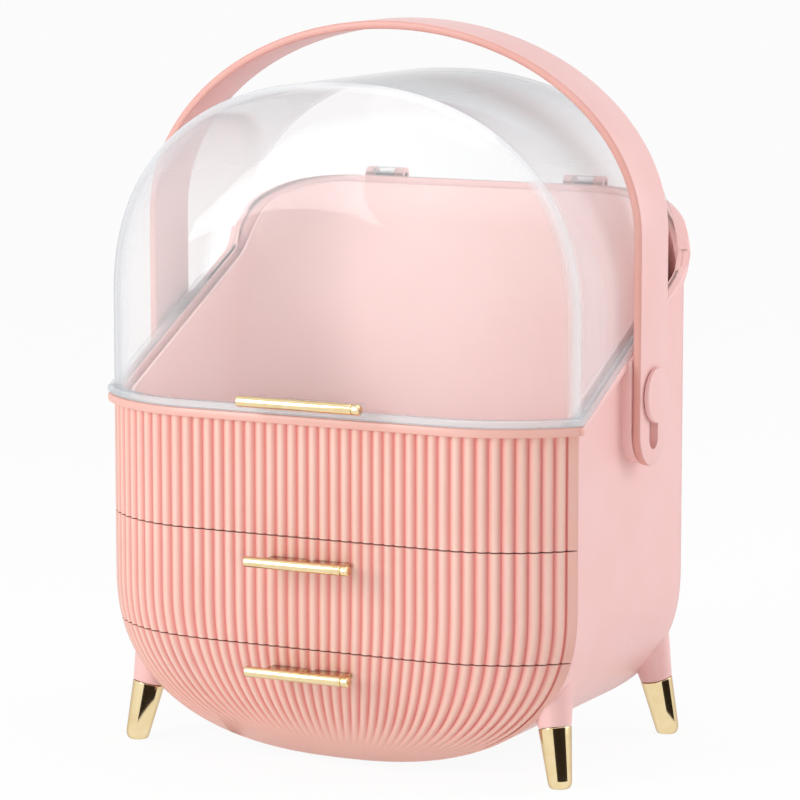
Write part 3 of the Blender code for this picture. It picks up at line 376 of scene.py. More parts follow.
def plated_metal(name, light, dark, edge_shade_tone, roughness):
    """A plated metal with faint wiping marks about 8 mm apart, and painted shade: a deeper tone where it turns
    away from view.
    """
    material, tree = new_material(name, light)
    place = node(tree, "ShaderNodeTexCoord").outputs["Object"]
    marks = {"Scale": WIPING_MARKS, "Detail": 3.0, "Vector": place}
    slow = node(tree, "ShaderNodeTexNoise", marks).outputs["Fac"]
    tones = {"Fac": slow, "stops": ((0.3, dark), (0.7, light))}
    tone = node(tree, "ShaderNodeValToRGB", tones).outputs["Color"]
    # Painted shade: the colour darkens towards the edges that turn away from view.
    facing = node(tree, "ShaderNodeLayerWeight", {"Blend": 0.5}).outputs["Facing"]
    rim = node(tree, "ShaderNodeMapRange", {"From Min": 0.35, "From Max": 0.95, "Value": facing})
    mix = {"data_type": "RGBA", 0: rim.outputs["Result"], 6: tone, 7: colour(edge_shade_tone)}
    tone = node(tree, "ShaderNodeMix", mix).outputs[2]
    spread = {"To Min": roughness - 0.03, "To Max": roughness + 0.04, "Value": slow}
    rough = node(tree, "ShaderNodeMapRange", spread).outputs["Result"]
    skin = node(tree, "ShaderNodeBsdfPrincipled", {"Metallic": 1.0, "Base Color": tone, "Roughness": rough})
    node(tree, "ShaderNodeOutputMaterial", {"Surface": skin.outputs["BSDF"]})
    return material


# The third colour of each is the painted shade at its turned edges.
gold = plated_metal("polished_gold_plating", "F3DFB4", "EBD3A0", "A97F48", 0.1)
zinc = plated_metal("zinc_plated_steel", "B9BBBE", "AEB0B4", "8E9196", 0.32)
print("metals:", gold.name, zinc.name)

# %% [markdown]
# The hood is clear polystyrene, two millimetres thick. Through its face one sees almost everything, and
# towards its edges, where the eye looks along the wall, it mirrors the room and turns grey; that grey is a
# painted reflection in its colour. A shader that lets most light straight through, and less where the surface
# turns away, gives that look without the dark shadow that true refraction would cast on the tray. Each point
# of the hood carries a value that makes the plastic more opaque above zero and clearer below.

# %% Clear plastic
FLOW_WAVES, OPACITY_SHARE, SHADOW_SHARE = 14.0, 0.45, 0.35


def clear_plastic(name, tones, face_alpha, edge_alpha):
    """Clear moulded plastic whose tones go from the face to the turned edge, where the grey is a painted
    reflection.
    """
    material, tree = new_material(name, tones[0])
    facing = node(tree, "ShaderNodeLayerWeight", {"Blend": 0.35}).outputs["Facing"]
    place = node(tree, "ShaderNodeTexCoord").outputs["Object"]
    flow = node(tree, "ShaderNodeTexNoise", {"Scale": FLOW_WAVES, "Detail": 1.0, "Vector": place})
    waves = {"Strength": 0.08, "Distance": 0.4 * MM, "Height": flow.outputs["Fac"]}
    bump = node(tree, "ShaderNodeBump", waves)
    spread = {"From Min": 0.35, "From Max": 0.9, "To Min": face_alpha, "To Max": edge_alpha, "Value": facing}
    alpha = node(tree, "ShaderNodeMapRange", spread).outputs["Result"]
    # Painted highlight along the front crease: the stored value raises the opacity there.
    thick = node(tree, "ShaderNodeAttribute", {"attribute_name": "thick"}).outputs["Fac"]
    more = node(tree, "ShaderNodeMath", {"operation": "MULTIPLY", 0: thick, 1: OPACITY_SHARE}).outputs[0]
    whole = node(tree, "ShaderNodeMath", {"operation": "ADD", "use_clamp": True, 0: alpha, 1: more})
    shadow = node(tree, "ShaderNodeLightPath").outputs["Is Shadow Ray"]
    passing = node(tree, "ShaderNodeMapRange", {"To Min": 1.0, "To Max": SHADOW_SHARE, "Value": shadow})
    product = {"operation": "MULTIPLY", 0: whole.outputs[0], 1: passing.outputs["Result"]}
    alpha = node(tree, "ShaderNodeMath", product).outputs[0]
    # Painted reflection: the colour turns grey where the surface turns from view.
    body = node(tree, "ShaderNodeValToRGB", {"Fac": facing, "stops": tuple(zip((0.3, 0.6, 0.85), tones))})
    look = {"Roughness": 0.03, "IOR": 1.59, "Base Color": body.outputs["Color"], "Alpha": alpha}
    skin = node(tree, "ShaderNodeBsdfPrincipled", look | {"Normal": bump.outputs["Normal"]})
    node(tree, "ShaderNodeOutputMaterial", {"Surface": skin.outputs["BSDF"]})
    return material


# The last tone of each is the grey of a painted reflection at the turned edges.
clear = clear_plastic("clear_polystyrene", ("F6F8FA", "D3D9DE", "868E95"), 0.15, 0.9)
thick_clear = clear_plastic("clear_polystyrene_edge", ("E3EAED", "BFCACF", "8D989F"), 0.4, 0.9)
print("clear plastic:", clear.name, "and", thick_clear.name)

# %% [markdown]
# ## The shell
#
# One moulding makes the sides, the belly, the back and the stubs of the legs. Its outer skin is two sheets
# that meet in a crisp crease: one wraps down a side, under the belly and up the other side, and one is the
# swollen back. Both stop at the slanted rim. Solidify gives them the 3 mm wall, and a lip runs round the
# rim, a hair above it so that the two never share a face.

# %% The skin of the shell
BELLY_ROWS, BELLY_GATHER, WALL_ROWS = 26, 1.7, 10
ARC_COLUMNS, FLAT_COLUMNS, SIDE_COLUMNS, RIM_COLUMNS = 16, 6, 24, 40
FULL_SHARE = 0.99999
SHELL_SOFT = 0.5 * MM
LIP_INSIDE, LIP_CLEAR, LIP_SOFT, LIP_CORNER = 2 * MM, 0.12 * MM, 0.9 * MM, 0.3


def belly_heights(low, high):
    """Heights up the belly, closer together where it turns under."""
    return [low + (high - low) * (n / BELLY_ROWS) ** BELLY_GATHER for n in range(BELLY_ROWS + 1)]


def wall_heights(y):
    """Heights from the belly's spring to the rim, at a distance from front to back."""
    return [BELLY.spring + (rim_height(y) - BELLY.spring) * n / WALL_ROWS for n in range(WALL_ROWS + 1)]


def side_places(count):
    """Places along a flat side, from the front crease to the rear one."""
    return [-CREASE + 2 * CREASE * n / count for n in range(count + 1)]


def face_shares(near=()):
    """Columns across a swollen face, as shares of its half width.

    The distances in near add columns that far from the crease."""
    side = [FLAT_HALF + ARC_RADIUS * math.sin(ARC_TURN * n / ARC_COLUMNS) for n in range(1, ARC_COLUMNS + 1)]
    side = sorted({*side, *[HALF_WIDTH - away for away in near]})
    middle = [FLAT_HALF * (2 * n / FLAT_COLUMNS - 1) for n in range(FLAT_COLUMNS + 1)]
    return [x / HALF_WIDTH for x in [-x for x in reversed(side)] + middle + side]


def face_point(outline, share, z, side, inset=0.0):
    """A point of the swollen front (side -1) or back (side 1) face."""
    x = share * outline.width(z)
    depth = 0.0 if abs(share) > FULL_SHARE else outline.depth(x, z)
    return Vector((x, side * (CREASE + swell(depth, inset)), z))


def shell_skin():
    """The wrap and the back of the shell as one open sheet."""
    bm = bmesh.new()
    belly = belly_heights(BELLY.end, BELLY.spring)[:-1]
    rows = []
    for y in sorted({-CREASE + SEAM_GAP, RIM_KNEE, *side_places(SIDE_COLUMNS)[1:]}):
        heights = belly + wall_heights(y)
        left = [Vector((-BELLY.width(z), y, z)) for z in reversed(heights)]
        right = [Vector((BELLY.width(z), y, z)) for z in heights[1:]]
        rows.append(left + right)
    add_sheet(bm, rows)
    columns = []
    for share in face_shares():
        edge = CREASE + swell(HALF_WIDTH * (1 - abs(share)))
        columns.append([face_point(BELLY, share, z, 1) for z in belly + wall_heights(edge)])
    add_sheet(bm, list(zip(*columns)))
    return bm


def rim_loop(front):
    """(place on the outer skin, outward direction) round the rim, from the left crease over the back."""
    ys = side_places(RIM_COLUMNS)
    side = [(Vector((-HALF_WIDTH, y, rim_height(y))), Vector((-1, 0, 0))) for y in ys]
    back = []
    for share in face_shares():
        x = share * HALF_WIDTH
        y = CREASE + swell(HALF_WIDTH - abs(x))
        run = max(abs(x) - FLAT_HALF, 0)
        out = Vector((math.copysign(run / ARC_RADIUS, x), math.sqrt(1 - (run / ARC_RADIUS) ** 2), 0))
        back.append((Vector((x, y, rim_height(y))), out))
    other = [(Vector((-p.x, p.y, p.z)), Vector((-n.x, n.y, 0))) for p, n in reversed(side)]
    loop = side + back + other
    if front:
        loop += [(Vector((-p.x, -p.y, RIM_FRONT)), Vector((-n.x, -n.y, 0))) for p, n in back]
    return loop


def rim_strip(bm, loop, section):
    """Sweeps a small section, as (outward, up) offsets, along a part of the rim."""
    rings = []
    for place, out in loop:
        rings.append([place + out * across + Vector((0, 0, up)) for across, up in section])
    add_tube(bm, rings)


def lip_section(inside, high):
    """The lip's section, from a depth inside the skin out to its full reach, with soft outer corners."""
    near, low = LIP_CORNER * LIP_SOFT, -LIP_HEIGHT
    lower = [(LIP_OUT - LIP_SOFT, low), (LIP_OUT - near, low + near), (LIP_OUT, low + LIP_SOFT)]
    upper = [(LIP_OUT, high - LIP_SOFT), (LIP_OUT - near, high - near), (LIP_OUT - LIP_SOFT, high)]
    return [(-inside, low), *lower, *upper, (-inside, high)]


shell = thicken(to_object("shell_skin", shell_skin(), pale_abs), SHELL_WALL)
finish_piece(shade(ease(shell, SHELL_SOFT, 2, 40)), "body", "outer_shell")
lip = bmesh.new()
rim_strip(lip, rim_loop(False), lip_section(LIP_INSIDE, LIP_CLEAR))
finish_piece(shade(to_object("shell_lip", lip, pale_abs)), "body")

# %% [markdown]
# ## The ribbed front
#
# The front is three curved panels, one fixed and two that belong to the drawers. The same 43 ribs run down
# all three, so the pattern has to line up across the seams. Each panel is a fine smooth sheet that carries
# values at every point: how far it lies from the middle along the curve, how strong the relief is there, and
# which way is out. A Geometry Nodes tree reads them and pushes the points out or in, one rounded rib after
# another. It also stores how far up a rib each point ends, as the value crest, and the finish paints shade
# into the grooves by it, darker and redder towards each valley.
# Changing the pitch then only means changing an input.

# %% The geometry tree for the ribs
FLAT_RIBS, ARC_RIBS = 23, 10
FLAT_PITCH, ARC_PITCH = 6.21 * MM, 6.86 * MM
RIB_CREST, RIB_VALLEY = 0.4 * MM, 1.35 * MM
RIB_BORDER = FLAT_RIBS / 2 * FLAT_PITCH
RIB_OUTER = RIB_BORDER + ARC_RIBS * ARC_PITCH
# How broad the painted shade in the grooves is, and how much of it a plain panel gets.
CREST_POWER, PLAIN_CREST = 1.7, 0.7
RIB_INPUTS = {"Flat pitch": FLAT_PITCH, "Arc pitch": ARC_PITCH, "Border": RIB_BORDER}
RIB_INPUTS |= {"Outer": RIB_OUTER, "Crest": RIB_CREST, "Valley": RIB_VALLEY}
RIB_RECIPE = (
    ("flat turns", "DIVIDE", "along", "Flat pitch"),
    ("flat middle", "ADD", "flat turns", 0.5),
    ("flat", "FRACT", "flat middle"),
    ("past border", "SUBTRACT", "along", "Border"),
    ("arc turns", "DIVIDE", "past border", "Arc pitch"),
    ("arc", "FRACT", "arc turns"),
    ("in arc", "GREATER_THAN", "along", "Border"),
    ("rib share", "MIX", "in arc", "flat", "arc"),
    ("doubled", "MULTIPLY", "rib share", 2.0),
    ("from crest", "SUBTRACT", "doubled", 1.0),
    ("squared", "MULTIPLY", "from crest", "from crest"),
    ("round", "SUBTRACT", 1.0, "squared"),
    ("inside", "LESS_THAN", "along", "Outer"),
    ("whole", "ADD", "Crest", "Valley"),
    ("plain", "DIVIDE", "Valley", "whole"),
    ("level", "MIX", "inside", "plain", "round"),
    ("raised", "MULTIPLY", "level", "whole"),
    ("offset", "SUBTRACT", "raised", "Valley"),
    ("push", "MULTIPLY", "offset", "relief"),
    # These two steps only give the painted shade of the grooves; the ribs' shape does not use them.
    ("height", "POWER", "level", CREST_POWER),
    ("crest", "MIX", "relief", PLAIN_CREST, "height"),
)


def geometry_tree(name, kind, inputs):
    """A geometry tree with named inputs of one kind, and the outputs of its input node by title."""
    tree = bpy.data.node_groups.new(name, "GeometryNodeTree")
    tree.interface.new_socket("Geometry", in_out="INPUT", socket_type="NodeSocketGeometry")
    for title, value in inputs.items():
        tree.interface.new_socket(title, in_out="INPUT", socket_type=kind).default_value = value
    tree.interface.new_socket("Geometry", in_out="OUTPUT", socket_type="NodeSocketGeometry")
    return tree, dict(node(tree, "NodeGroupInput").outputs.items())


def close_tree(tree, geometry, material):
    """Ends a geometry tree in Realize Instances and Set Material."""
    real = node(tree, "GeometryNodeRealizeInstances", {"Geometry": geometry}).outputs["Geometry"]
    dress = node(tree, "GeometryNodeSetMaterial", {"Material": material, "Geometry": real})
    node(tree, "NodeGroupOutput", {"Geometry": dress.outputs["Geometry"]})
    return tree


def rib_tree():
    """Raises rounded ribs on a sheet that carries the attributes along, relief and out."""
    tree, values = geometry_tree("rounded_ribs", "NodeSocketFloat", RIB_INPUTS)
    for name, kind in (("along", "FLOAT"), ("relief", "FLOAT"), ("out", "FLOAT_VECTOR")):
        read = node(tree, "GeometryNodeInputNamedAttribute", {"data_type": kind, "Name": name})
        values[name] = read.outputs["Attribute"]
    for name, step, *terms in RIB_RECIPE:
        mixing = step == "MIX"
        made = {"data_type": "FLOAT"} if mixing else {"operation": step}
        made |= {n: values.get(term, term) for n, term in zip((0, 2, 3) if mixing else (0, 1), terms)}
        values[name] = node(tree, "ShaderNodeMix" if mixing else "ShaderNodeMath", made).outputs[0]
    scale = {"operation": "SCALE", "Vector": values["out"], "Scale": values["push"]}
    shift = node(tree, "ShaderNodeVectorMath", scale).outputs["Vector"]
    store = {"data_type": "FLOAT", "domain": "POINT", "Name": "crest"}
    store |= {"Geometry": values["Geometry"], "Value": values["crest"]}
    keep = node(tree, "GeometryNodeStoreNamedAttribute", store).outputs["Geometry"]
    move = node(tree, "GeometryNodeSetPosition", {"Geometry": keep, "Offset": shift})
    return close_tree(tree, move.outputs["Geometry"], rib_abs)


RIBS = rib_tree()
print("rib tree:", len(RIBS.nodes), "nodes")

# %% [markdown]
# A column of points never falls on the jump from one rib to the next, so each rib's columns start a little
# inside it. The ribs fade out towards the bottom of the belly, where the real mould runs smooth.

# %% The three panels
RIB_COLUMNS, COLUMN_START = 8, 0.04
CREASE_BAND, PLAIN_BAND, LAST_VALLEY = 0.4 * MM, 0.5 * MM, 0.02 * MM
RIB_FADE = (11 * MM, 34 * MM)
PANEL_ROWS = 14
HALF_SEAM, FASCIA_DROP = 0.35 * MM, 1 * MM
TOUCH = 0.01 * MM
FASCIA_LIP_INSIDE = 1.2 * MM
UPPER_FRONT = (LOWER_SEAM + HALF_SEAM, UPPER_SEAM - HALF_SEAM)
PANELS = (
    ("ribbed_fascia", UPPER_SEAM + HALF_SEAM, RIM_FRONT - FASCIA_DROP, "body", "front_fascia"),
    ("upper_ribbed_front", *UPPER_FRONT, "upper_drawer", "upper_drawer_front"),
    ("lower_ribbed_front", None, LOWER_SEAM - HALF_SEAM, "lower_drawer", "lower_drawer_front"),
)


def rib_lengths():
    """Distances from the middle, along the curve, of the columns of a ribbed panel."""
    whole = FLAT_HALF + ARC_RADIUS * ARC_TURN
    starts = [-RIB_OUTER + ARC_PITCH * n for n in range(ARC_RIBS)]
    starts += [-RIB_BORDER + FLAT_PITCH * n for n in range(FLAT_RIBS)]
    starts += [RIB_BORDER + ARC_PITCH * n for n in range(ARC_RIBS)] + [RIB_OUTER]
    found = [-whole, -whole + CREASE_BAND, -RIB_OUTER - PLAIN_BAND]
    for one, two in zip(starts, starts[1:]):
        found += [one + (two - one) * (n + COLUMN_START) / RIB_COLUMNS for n in range(RIB_COLUMNS)]
    return found + [RIB_OUTER - LAST_VALLEY, RIB_OUTER + PLAIN_BAND, whole - CREASE_BAND, whole]


def along_to_share(length):
    """The share of the half width that lies at a distance along the curve."""
    size = abs(length)
    if size <= FLAT_HALF:
        return length / HALF_WIDTH
    turn = min((size - FLAT_HALF) / ARC_RADIUS, ARC_TURN)
    return math.copysign(FLAT_HALF + ARC_RADIUS * math.sin(turn), length) / HALF_WIDTH


def panel_heights(start, end):
    """Rows of a panel; one without a start takes in the belly, down to where it ends."""
    if start is None:
        return belly_heights(BELLY.end, end)
    return [start + (end - start) * n / PANEL_ROWS for n in range(PANEL_ROWS + 1)]


def join_borders(bm, front, rear, bottom):
    """Closes a panel between its front and rear sheets."""
    ends = [(front[-1], rear[-1])] + ([(front[0], rear[0])] if bottom else [])
    for column in (0, -1):
        ends.append(([row[column] for row in front], [row[column] for row in rear]))
    for one, two in ends:
        for a, b, c, d in zip(one, one[1:], two[1:], two):
            if len({a, b, c, d}) == 4:
                bm.faces.new((a, b, c, d))


def ribbed_panel(name, start, end):
    """A panel with its ribs and its wall."""
    bm = bmesh.new()
    along_key, relief_key = [bm.verts.layers.float.new(key) for key in ("along", "relief")]
    out_key = bm.verts.layers.float_vector.new("out")
    lengths = rib_lengths()
    shares = [along_to_share(length) for length in lengths]
    heights = panel_heights(start, end)
    outer, inner = [], []
    for z in heights:
        outer.append([face_point(BELLY, share, z, -1) for share in shares])
        inner.append([face_point(BELLY, share, z, -1, FRONT_WALL) for share in shares])
        for point in inner[-1]:
            point.y = min(point.y, -CREASE)
    front = add_sheet(bm, outer)
    rear = add_sheet(bm, inner)
    for z, row in zip(heights, front):
        fade = smooth_step(z, *RIB_FADE)
        for number, vert in enumerate(row):
            before, after = row[max(number - 1, 0)], row[min(number + 1, len(row) - 1)]
            tangent = after.co - before.co
            tangent = tangent.normalized() if tangent.length > 0 else Vector((1, 0, 0))
            vert[along_key] = abs(lengths[number])
            vert[relief_key] = 0.0 if number in (0, len(row) - 1) else fade
            vert[out_key] = Vector((tangent.y, -tangent.x, 0))
    join_borders(bm, front, rear, start is not None)
    panel = to_object(name, bm, rib_abs)
    panel.modifiers.new("ribs", "NODES").node_group = RIBS
    return shade(bake(panel), 50)


for name, start, end, body, stands_for in PANELS:
    finish_piece(ribbed_panel(name, start, end), body, stands_for)
front_lip = bmesh.new()
loop = [(p, n) for p, n in rim_loop(True) if p.y < -CREASE + TOUCH and p.z < RIM_FRONT + TOUCH]
loop = sorted(loop, key=lambda pair: pair[0].x)
rim_strip(front_lip, loop, lip_section(FASCIA_LIP_INSIDE, 0))
finish_piece(shade(to_object("fascia_lip", front_lip, pink_abs)), "body")

# %% [markdown]
# ## The clear hood
#
# The hood repeats the form of the box: a swollen front, sides that run over the top in one curve, and a
# swollen back, all ending at the slanted rim. A flared flange runs round its lower edge. The wall is made
# more opaque beside the front crease, a painted highlight along it, and both wall and flange are made
# clearer towards the rear.

# %% The hood's skin and flange
HOOD_ROWS, HOOD_SOFT = 34, 0.7 * MM
EDGE_BAND = (1.6 * MM, 3.6 * MM)
CREASE_EDGE = 1 * MM
REAR_FADE = (24 * MM, 50 * MM)
EAR_REACH = 45 * MM
REAR_THIN, SIDE_THIN, SIDE_FADE = 1.5, 0.45, 20 * MM
FLANGE_THICK, FLANGE_MORE = 1.6 * MM, 2.4 * MM
FLANGE_SOFT, FLANGE_SOFTER, FLANGE_OUT = 0.3 * MM, 0.5 * MM, 0.2 * MM


def rear_share(y):
    """How far behind the handle a place is: 0 before it, 1 well behind it, where the plastic thins out."""
    return smooth_step(y, *REAR_FADE)


def climb(start):
    """Heights from the rim to the crown, closer together near the crown."""
    return [start + (CROWN.end - start) * (1 - (1 - n / HOOD_ROWS) ** 2) for n in range(HOOD_ROWS + 1)]


def hood_skin():
    """The front, the wrap over the top and the back of the hood as one open sheet."""
    bm = bmesh.new()
    near = [side * (CREASE - away) for side in (-1, 1) for away in EDGE_BAND]
    rows = []
    for y in sorted({RIM_KNEE, *near, *side_places(SIDE_COLUMNS)}):
        heights = climb(rim_height(y) + GAP)
        left = [Vector((-CROWN.width(z), y, z)) for z in heights]
        right = [Vector((CROWN.width(z), y, z)) for z in reversed(heights[:-1])]
        rows.append(left + right)
    add_sheet(bm, rows)
    for side in (-1, 1):
        columns = []
        for share in face_shares(near=EDGE_BAND):
            edge = side * (CREASE + swell(HALF_WIDTH * (1 - abs(share))))
            columns.append([face_point(CROWN, share, z, side) for z in climb(rim_height(edge) + GAP)])
        add_sheet(bm, list(zip(*columns)))
    return bm


def flange():
    """The flared edge, from the hood's wall out past the rim of the box; behind the handle it narrows."""
    bm = bmesh.new()
    up = Vector((0, 0, 1))
    rings = []
    for place, out in rim_loop(True):
        full = 1 - rear_share(place.y)
        soft = FLANGE_SOFT + FLANGE_SOFTER * full
        low, high = GAP, GAP + FLANGE_THICK + FLANGE_MORE * full
        width = CROWN.width(place.z + GAP)
        wall = Vector((place.x * width / HALF_WIDTH, place.y, place.z)) - out * HOOD_WALL
        edge = place + out * (LIP_OUT * full + FLANGE_OUT)
        ring = [wall + up * low, edge - out * soft + up * low, edge + up * (low + soft)]
        ring += [edge + up * (high - soft), edge - out * soft + up * high, wall + up * high]
        rings.append(ring)
    add_sheet(bm, rings + [rings[0]], closed=True)
    return bm


def wall_opacity(x, y, z):
    """How much more opaque the hood's wall is made: high beside the front crease, a painted highlight there,
    and low at the rear rim.
    """
    inside = CROWN.depth(x, z) if z > CROWN.spring else HALF_WIDTH - abs(x)
    away = y + CREASE if y > -CREASE + HOOD_WALL / 2 else inside
    near_rim = max(0, 1 - max(z - rim_height(y), 0) / EAR_REACH)
    # Painted highlight: the opacity rises in a band beside the front crease.
    return max(0, 1 - max(away - CREASE_EDGE, 0) / EDGE_BAND[1]) - REAR_THIN * rear_share(y) * near_rim


def flange_opacity(x, y, z):
    """The flange's change of opacity: it falls along the sides and once more behind the handle."""
    return -SIDE_THIN * min(max((y + CREASE) / SIDE_FADE, 0), 1) - REAR_THIN * rear_share(y)


def mark_opacity(piece, thickness):
    """Stores at every point of a piece the value that changes how opaque the plastic is."""
    # The function given returns the change of opacity, which along the front crease is a painted highlight.
    values = piece.data.attributes.new("thick", "FLOAT", "POINT").data
    for number, vert in enumerate(piece.data.vertices):
        values[number].value = thickness(vert.co.x, vert.co.y - SHIFT, vert.co.z)


hood = thicken(to_object("hood_skin", hood_skin(), clear), HOOD_WALL)
hood = shade(ease(hood, HOOD_SOFT, 3, 30), 35)
mark_opacity(hood, wall_opacity)
finish_piece(hood, "hood", "hood_shell")
edge = shade(to_object("hood_flange", flange(), thick_clear))
mark_opacity(edge, flange_opacity)
finish_piece(edge, "hood")

# %% [markdown]
# ## The carry handle
#
# The handle is a flat band of ABS bent into an arch, with rounded ends and a slot in each arm. Its section
# is a rectangle with soft corners, swept along a path: up one arm, over a half ellipse and down the other.
# The narrow edges of the band take a deeper pink: painted shade where their rounded corners turn from the
# light.

# %% The handle band
HANDLE_HALF, HANDLE_THICK, HANDLE_WIDTH = 146.15 * MM, 4.5 * MM, 36 * MM
HANDLE_LOW, HANDLE_SPRING, HANDLE_TOP = 159 * MM, 279.5 * MM, 387.75 * MM
HANDLE_SOFT, SOFT_SHARE = 1.3 * MM, 0.6
PIVOT_RADIUS, SLOT_TRAVEL = 5.2 * MM, 23.1 * MM
END_STEPS, ARM_STEPS, ARCH_STEPS, CORNER_STEPS, SLOT_STEPS = 12, 8, 96, 3, 16
CUT_BEYOND = 4 * MM
EDGE_ACROSS, EDGE_ALONG, EDGE_REACH = 0.8, 0.3, 1.5


def handle_stations():
    """(place, outward direction, half width) along the band."""
    half, wide = HANDLE_HALF - HANDLE_THICK / 2, HANDLE_WIDTH / 2
    rise = HANDLE_TOP - HANDLE_THICK / 2 - HANDLE_SPRING
    arm = HANDLE_SPRING - HANDLE_LOW - wide
    ends = []
    for n in range(1, END_STEPS + 1):
        angle = math.pi / 2 * n / END_STEPS
        ends.append((HANDLE_LOW + wide * (1 - math.cos(angle)), wide * math.sin(angle)))
    ends += [(HANDLE_LOW + wide + arm * n / ARM_STEPS, wide) for n in range(1, ARM_STEPS)]
    found = [(Vector((-half, PIVOT_Y, z)), Vector((-1, 0, 0)), w) for z, w in ends]
    for n in range(ARCH_STEPS + 1):
        angle = math.pi * n / ARCH_STEPS
        across, up = math.cos(angle), math.sin(angle)
        out = Vector((-across * rise, 0, up * half)).normalized()
        found.append((Vector((-half * across, PIVOT_Y, HANDLE_SPRING + rise * up)), out, wide))
    return found + [(Vector((half, PIVOT_Y, z)), Vector((1, 0, 0)), w) for z, w in reversed(ends)]


def band_section(width):
    """Section of the band, as (outward, along Y) offsets, with soft corners."""
    flat, soft = HANDLE_THICK / 2, min(HANDLE_SOFT, width * SOFT_SHARE)
    ring = []
    for first, (sign_out, sign_along) in enumerate(((1, 1), (-1, 1), (-1, -1), (1, -1))):
        for n in range(CORNER_STEPS + 1):
            angle = math.pi / 2 * (first + n / CORNER_STEPS)
            out = sign_out * (flat - soft) + soft * math.cos(angle)
            ring.append((out, sign_along * (width - soft) + soft * math.sin(angle)))
    return ring


def slot_cutters():
    """Round-ended cutters for the slots in both arms."""
    bm = bmesh.new()
    radius = PIVOT_RADIUS + GAP
    outline = []
    for middle, start in ((PIVOT_Z - SLOT_TRAVEL, math.pi), (PIVOT_Z, 0)):
        for n in range(SLOT_STEPS + 1):
            angle = start + math.pi * n / SLOT_STEPS
            outline.append((PIVOT_Y + radius * math.cos(angle), middle + radius * math.sin(angle)))
    near, far = HANDLE_HALF - HANDLE_THICK - CUT_BEYOND, HANDLE_HALF + CUT_BEYOND
    for side in (-1, 1):
        add_prism(bm, outline, side * near, side * far)
    return bm


def on_edge(face):
    """Whether a face lies on the narrow edge of the band, and not in a slot."""
    below = min(face.center.z - HANDLE_LOW - HANDLE_WIDTH / 2, 0)
    away = math.hypot(face.center.y - SHIFT - PIVOT_Y, below)
    turned_along = abs(face.normal.x) < EDGE_ACROSS and abs(face.normal.y) > EDGE_ALONG
    return turned_along and away > HANDLE_WIDTH / 2 - EDGE_REACH * HANDLE_SOFT


def handle_band():
    """The band with its slots cut, and painted shade on its narrow edges in a deeper pink."""
    bm = bmesh.new()
    rings = []
    for place, out, width in handle_stations():
        rings.append([place + out * o + Vector((0, a, 0)) for o, a in band_section(width)])
    add_tube(bm, rings)
    band = to_object("handle_arch", bm, pale_abs)
    cutter = to_object("slot_cutter", slot_cutters(), pink_abs)
    cut = band.modifiers.new("slots", "BOOLEAN")
    cut.operation, cut.solver, cut.object = "DIFFERENCE", "EXACT", cutter
    band = bake(band)
    bpy.data.objects.remove(cutter)
    # Painted shade: the narrow edges of the band take the deeper pink.
    band.data.materials.append(edge_shade_abs)
    for face in band.data.polygons:
        if on_edge(face):
            face.material_index = 1
    return shade(band, 32)


finish_piece(handle_band(), "handle", "handle_band")

# %% [markdown]
# ## Turned pieces
#
# Pull bars, pivot covers and leg tips are all round, so each is a profile turned about its axis. A profile
# is a list of heights and radii that starts and ends on the axis, and a frame says where the axis stands.

# %% A lathe
LATHE_SIDES, NEAR_HALF = 64, 0.45


def turned(bm, profile, place):
    """Turns (height, radius) points about the local Z axis of a frame."""
    rings = []
    for height, radius in profile:
        ring = []
        for n in range(LATHE_SIDES):
            angle = math.tau * n / LATHE_SIDES
            ring.append(place @ Vector((radius * math.cos(angle), radius * math.sin(angle), height)))
        rings.append(ring)
    add_sheet(bm, rings, closed=True)


def to_axis(points):
    """A profile that is closed by a flat disc at both ends."""
    return [(points[0][0], 0), *points, (points[-1][0], 0)]


def rounded(profile, radius, steps=4):
    """Rounds the inner corners of a profile."""
    found = [profile[0]]
    for before, here, after in zip(profile, profile[1:], profile[2:]):
        a, b, c = Vector(before), Vector(here), Vector(after)
        reach = min(radius, (a - b).length * NEAR_HALF, (c - b).length * NEAR_HALF)
        start, end = b + (a - b).normalized() * reach, b + (c - b).normalized() * reach
        for n in range(steps + 1):
            t = n / steps
            found.append(tuple(start * (1 - t) ** 2 + b * 2 * t * (1 - t) + end * t**2))
    return found + [profile[-1]]


print("sides of a turned piece:", LATHE_SIDES)

# %% [markdown]
# Each drawer has a gold bar on two flat tongues, with a break between them in the middle. The hood's bar
# sits on one clear tab. All three bars are alike but for their size, and each has a fine groove near one end.

# %% Pull bars with their tongues
PULL_Z = {"upper": 113.7 * MM, "lower": 55.9 * MM}
PULL_LENGTH, PULL_RADIUS, PULL_OUT = 61 * MM, 2.75 * MM, 17.2 * MM
HOOD_PULL_LENGTH, HOOD_PULL_RADIUS, HOOD_PULL_OUT = 71.5 * MM, 2.9 * MM, 14.6 * MM
HOOD_PULL_Z = 196.7 * MM
FRONT_FLAT = -CREASE - BULGE
BAR_END, BAR_MIDWAY, BAR_MIDWAY_IN, BAR_SOFT = 0.9 * MM, 0.3 * MM, 0.25 * MM, 0.3 * MM
BAR_CAP, GROOVE_WIDTH, GROOVE_DEPTH = 4 * MM, 0.7 * MM, 0.8 * MM
TONGUE_NEAR, TONGUE_FAR, TONGUE_BITE = 1.85 * MM, 23 * MM, 1.2 * MM
TONGUE_BELOW, TONGUE_ABOVE, TONGUE_SOFT = 2 * MM, 0.95 * MM, 0.3 * MM
TAB_HALF, TAB_BITE, TAB_THICK_HALF, TAB_CLEAR, TAB_SOFT = 31 * MM, 1.4 * MM, 1.1 * MM, 0.1 * MM, 0.4 * MM


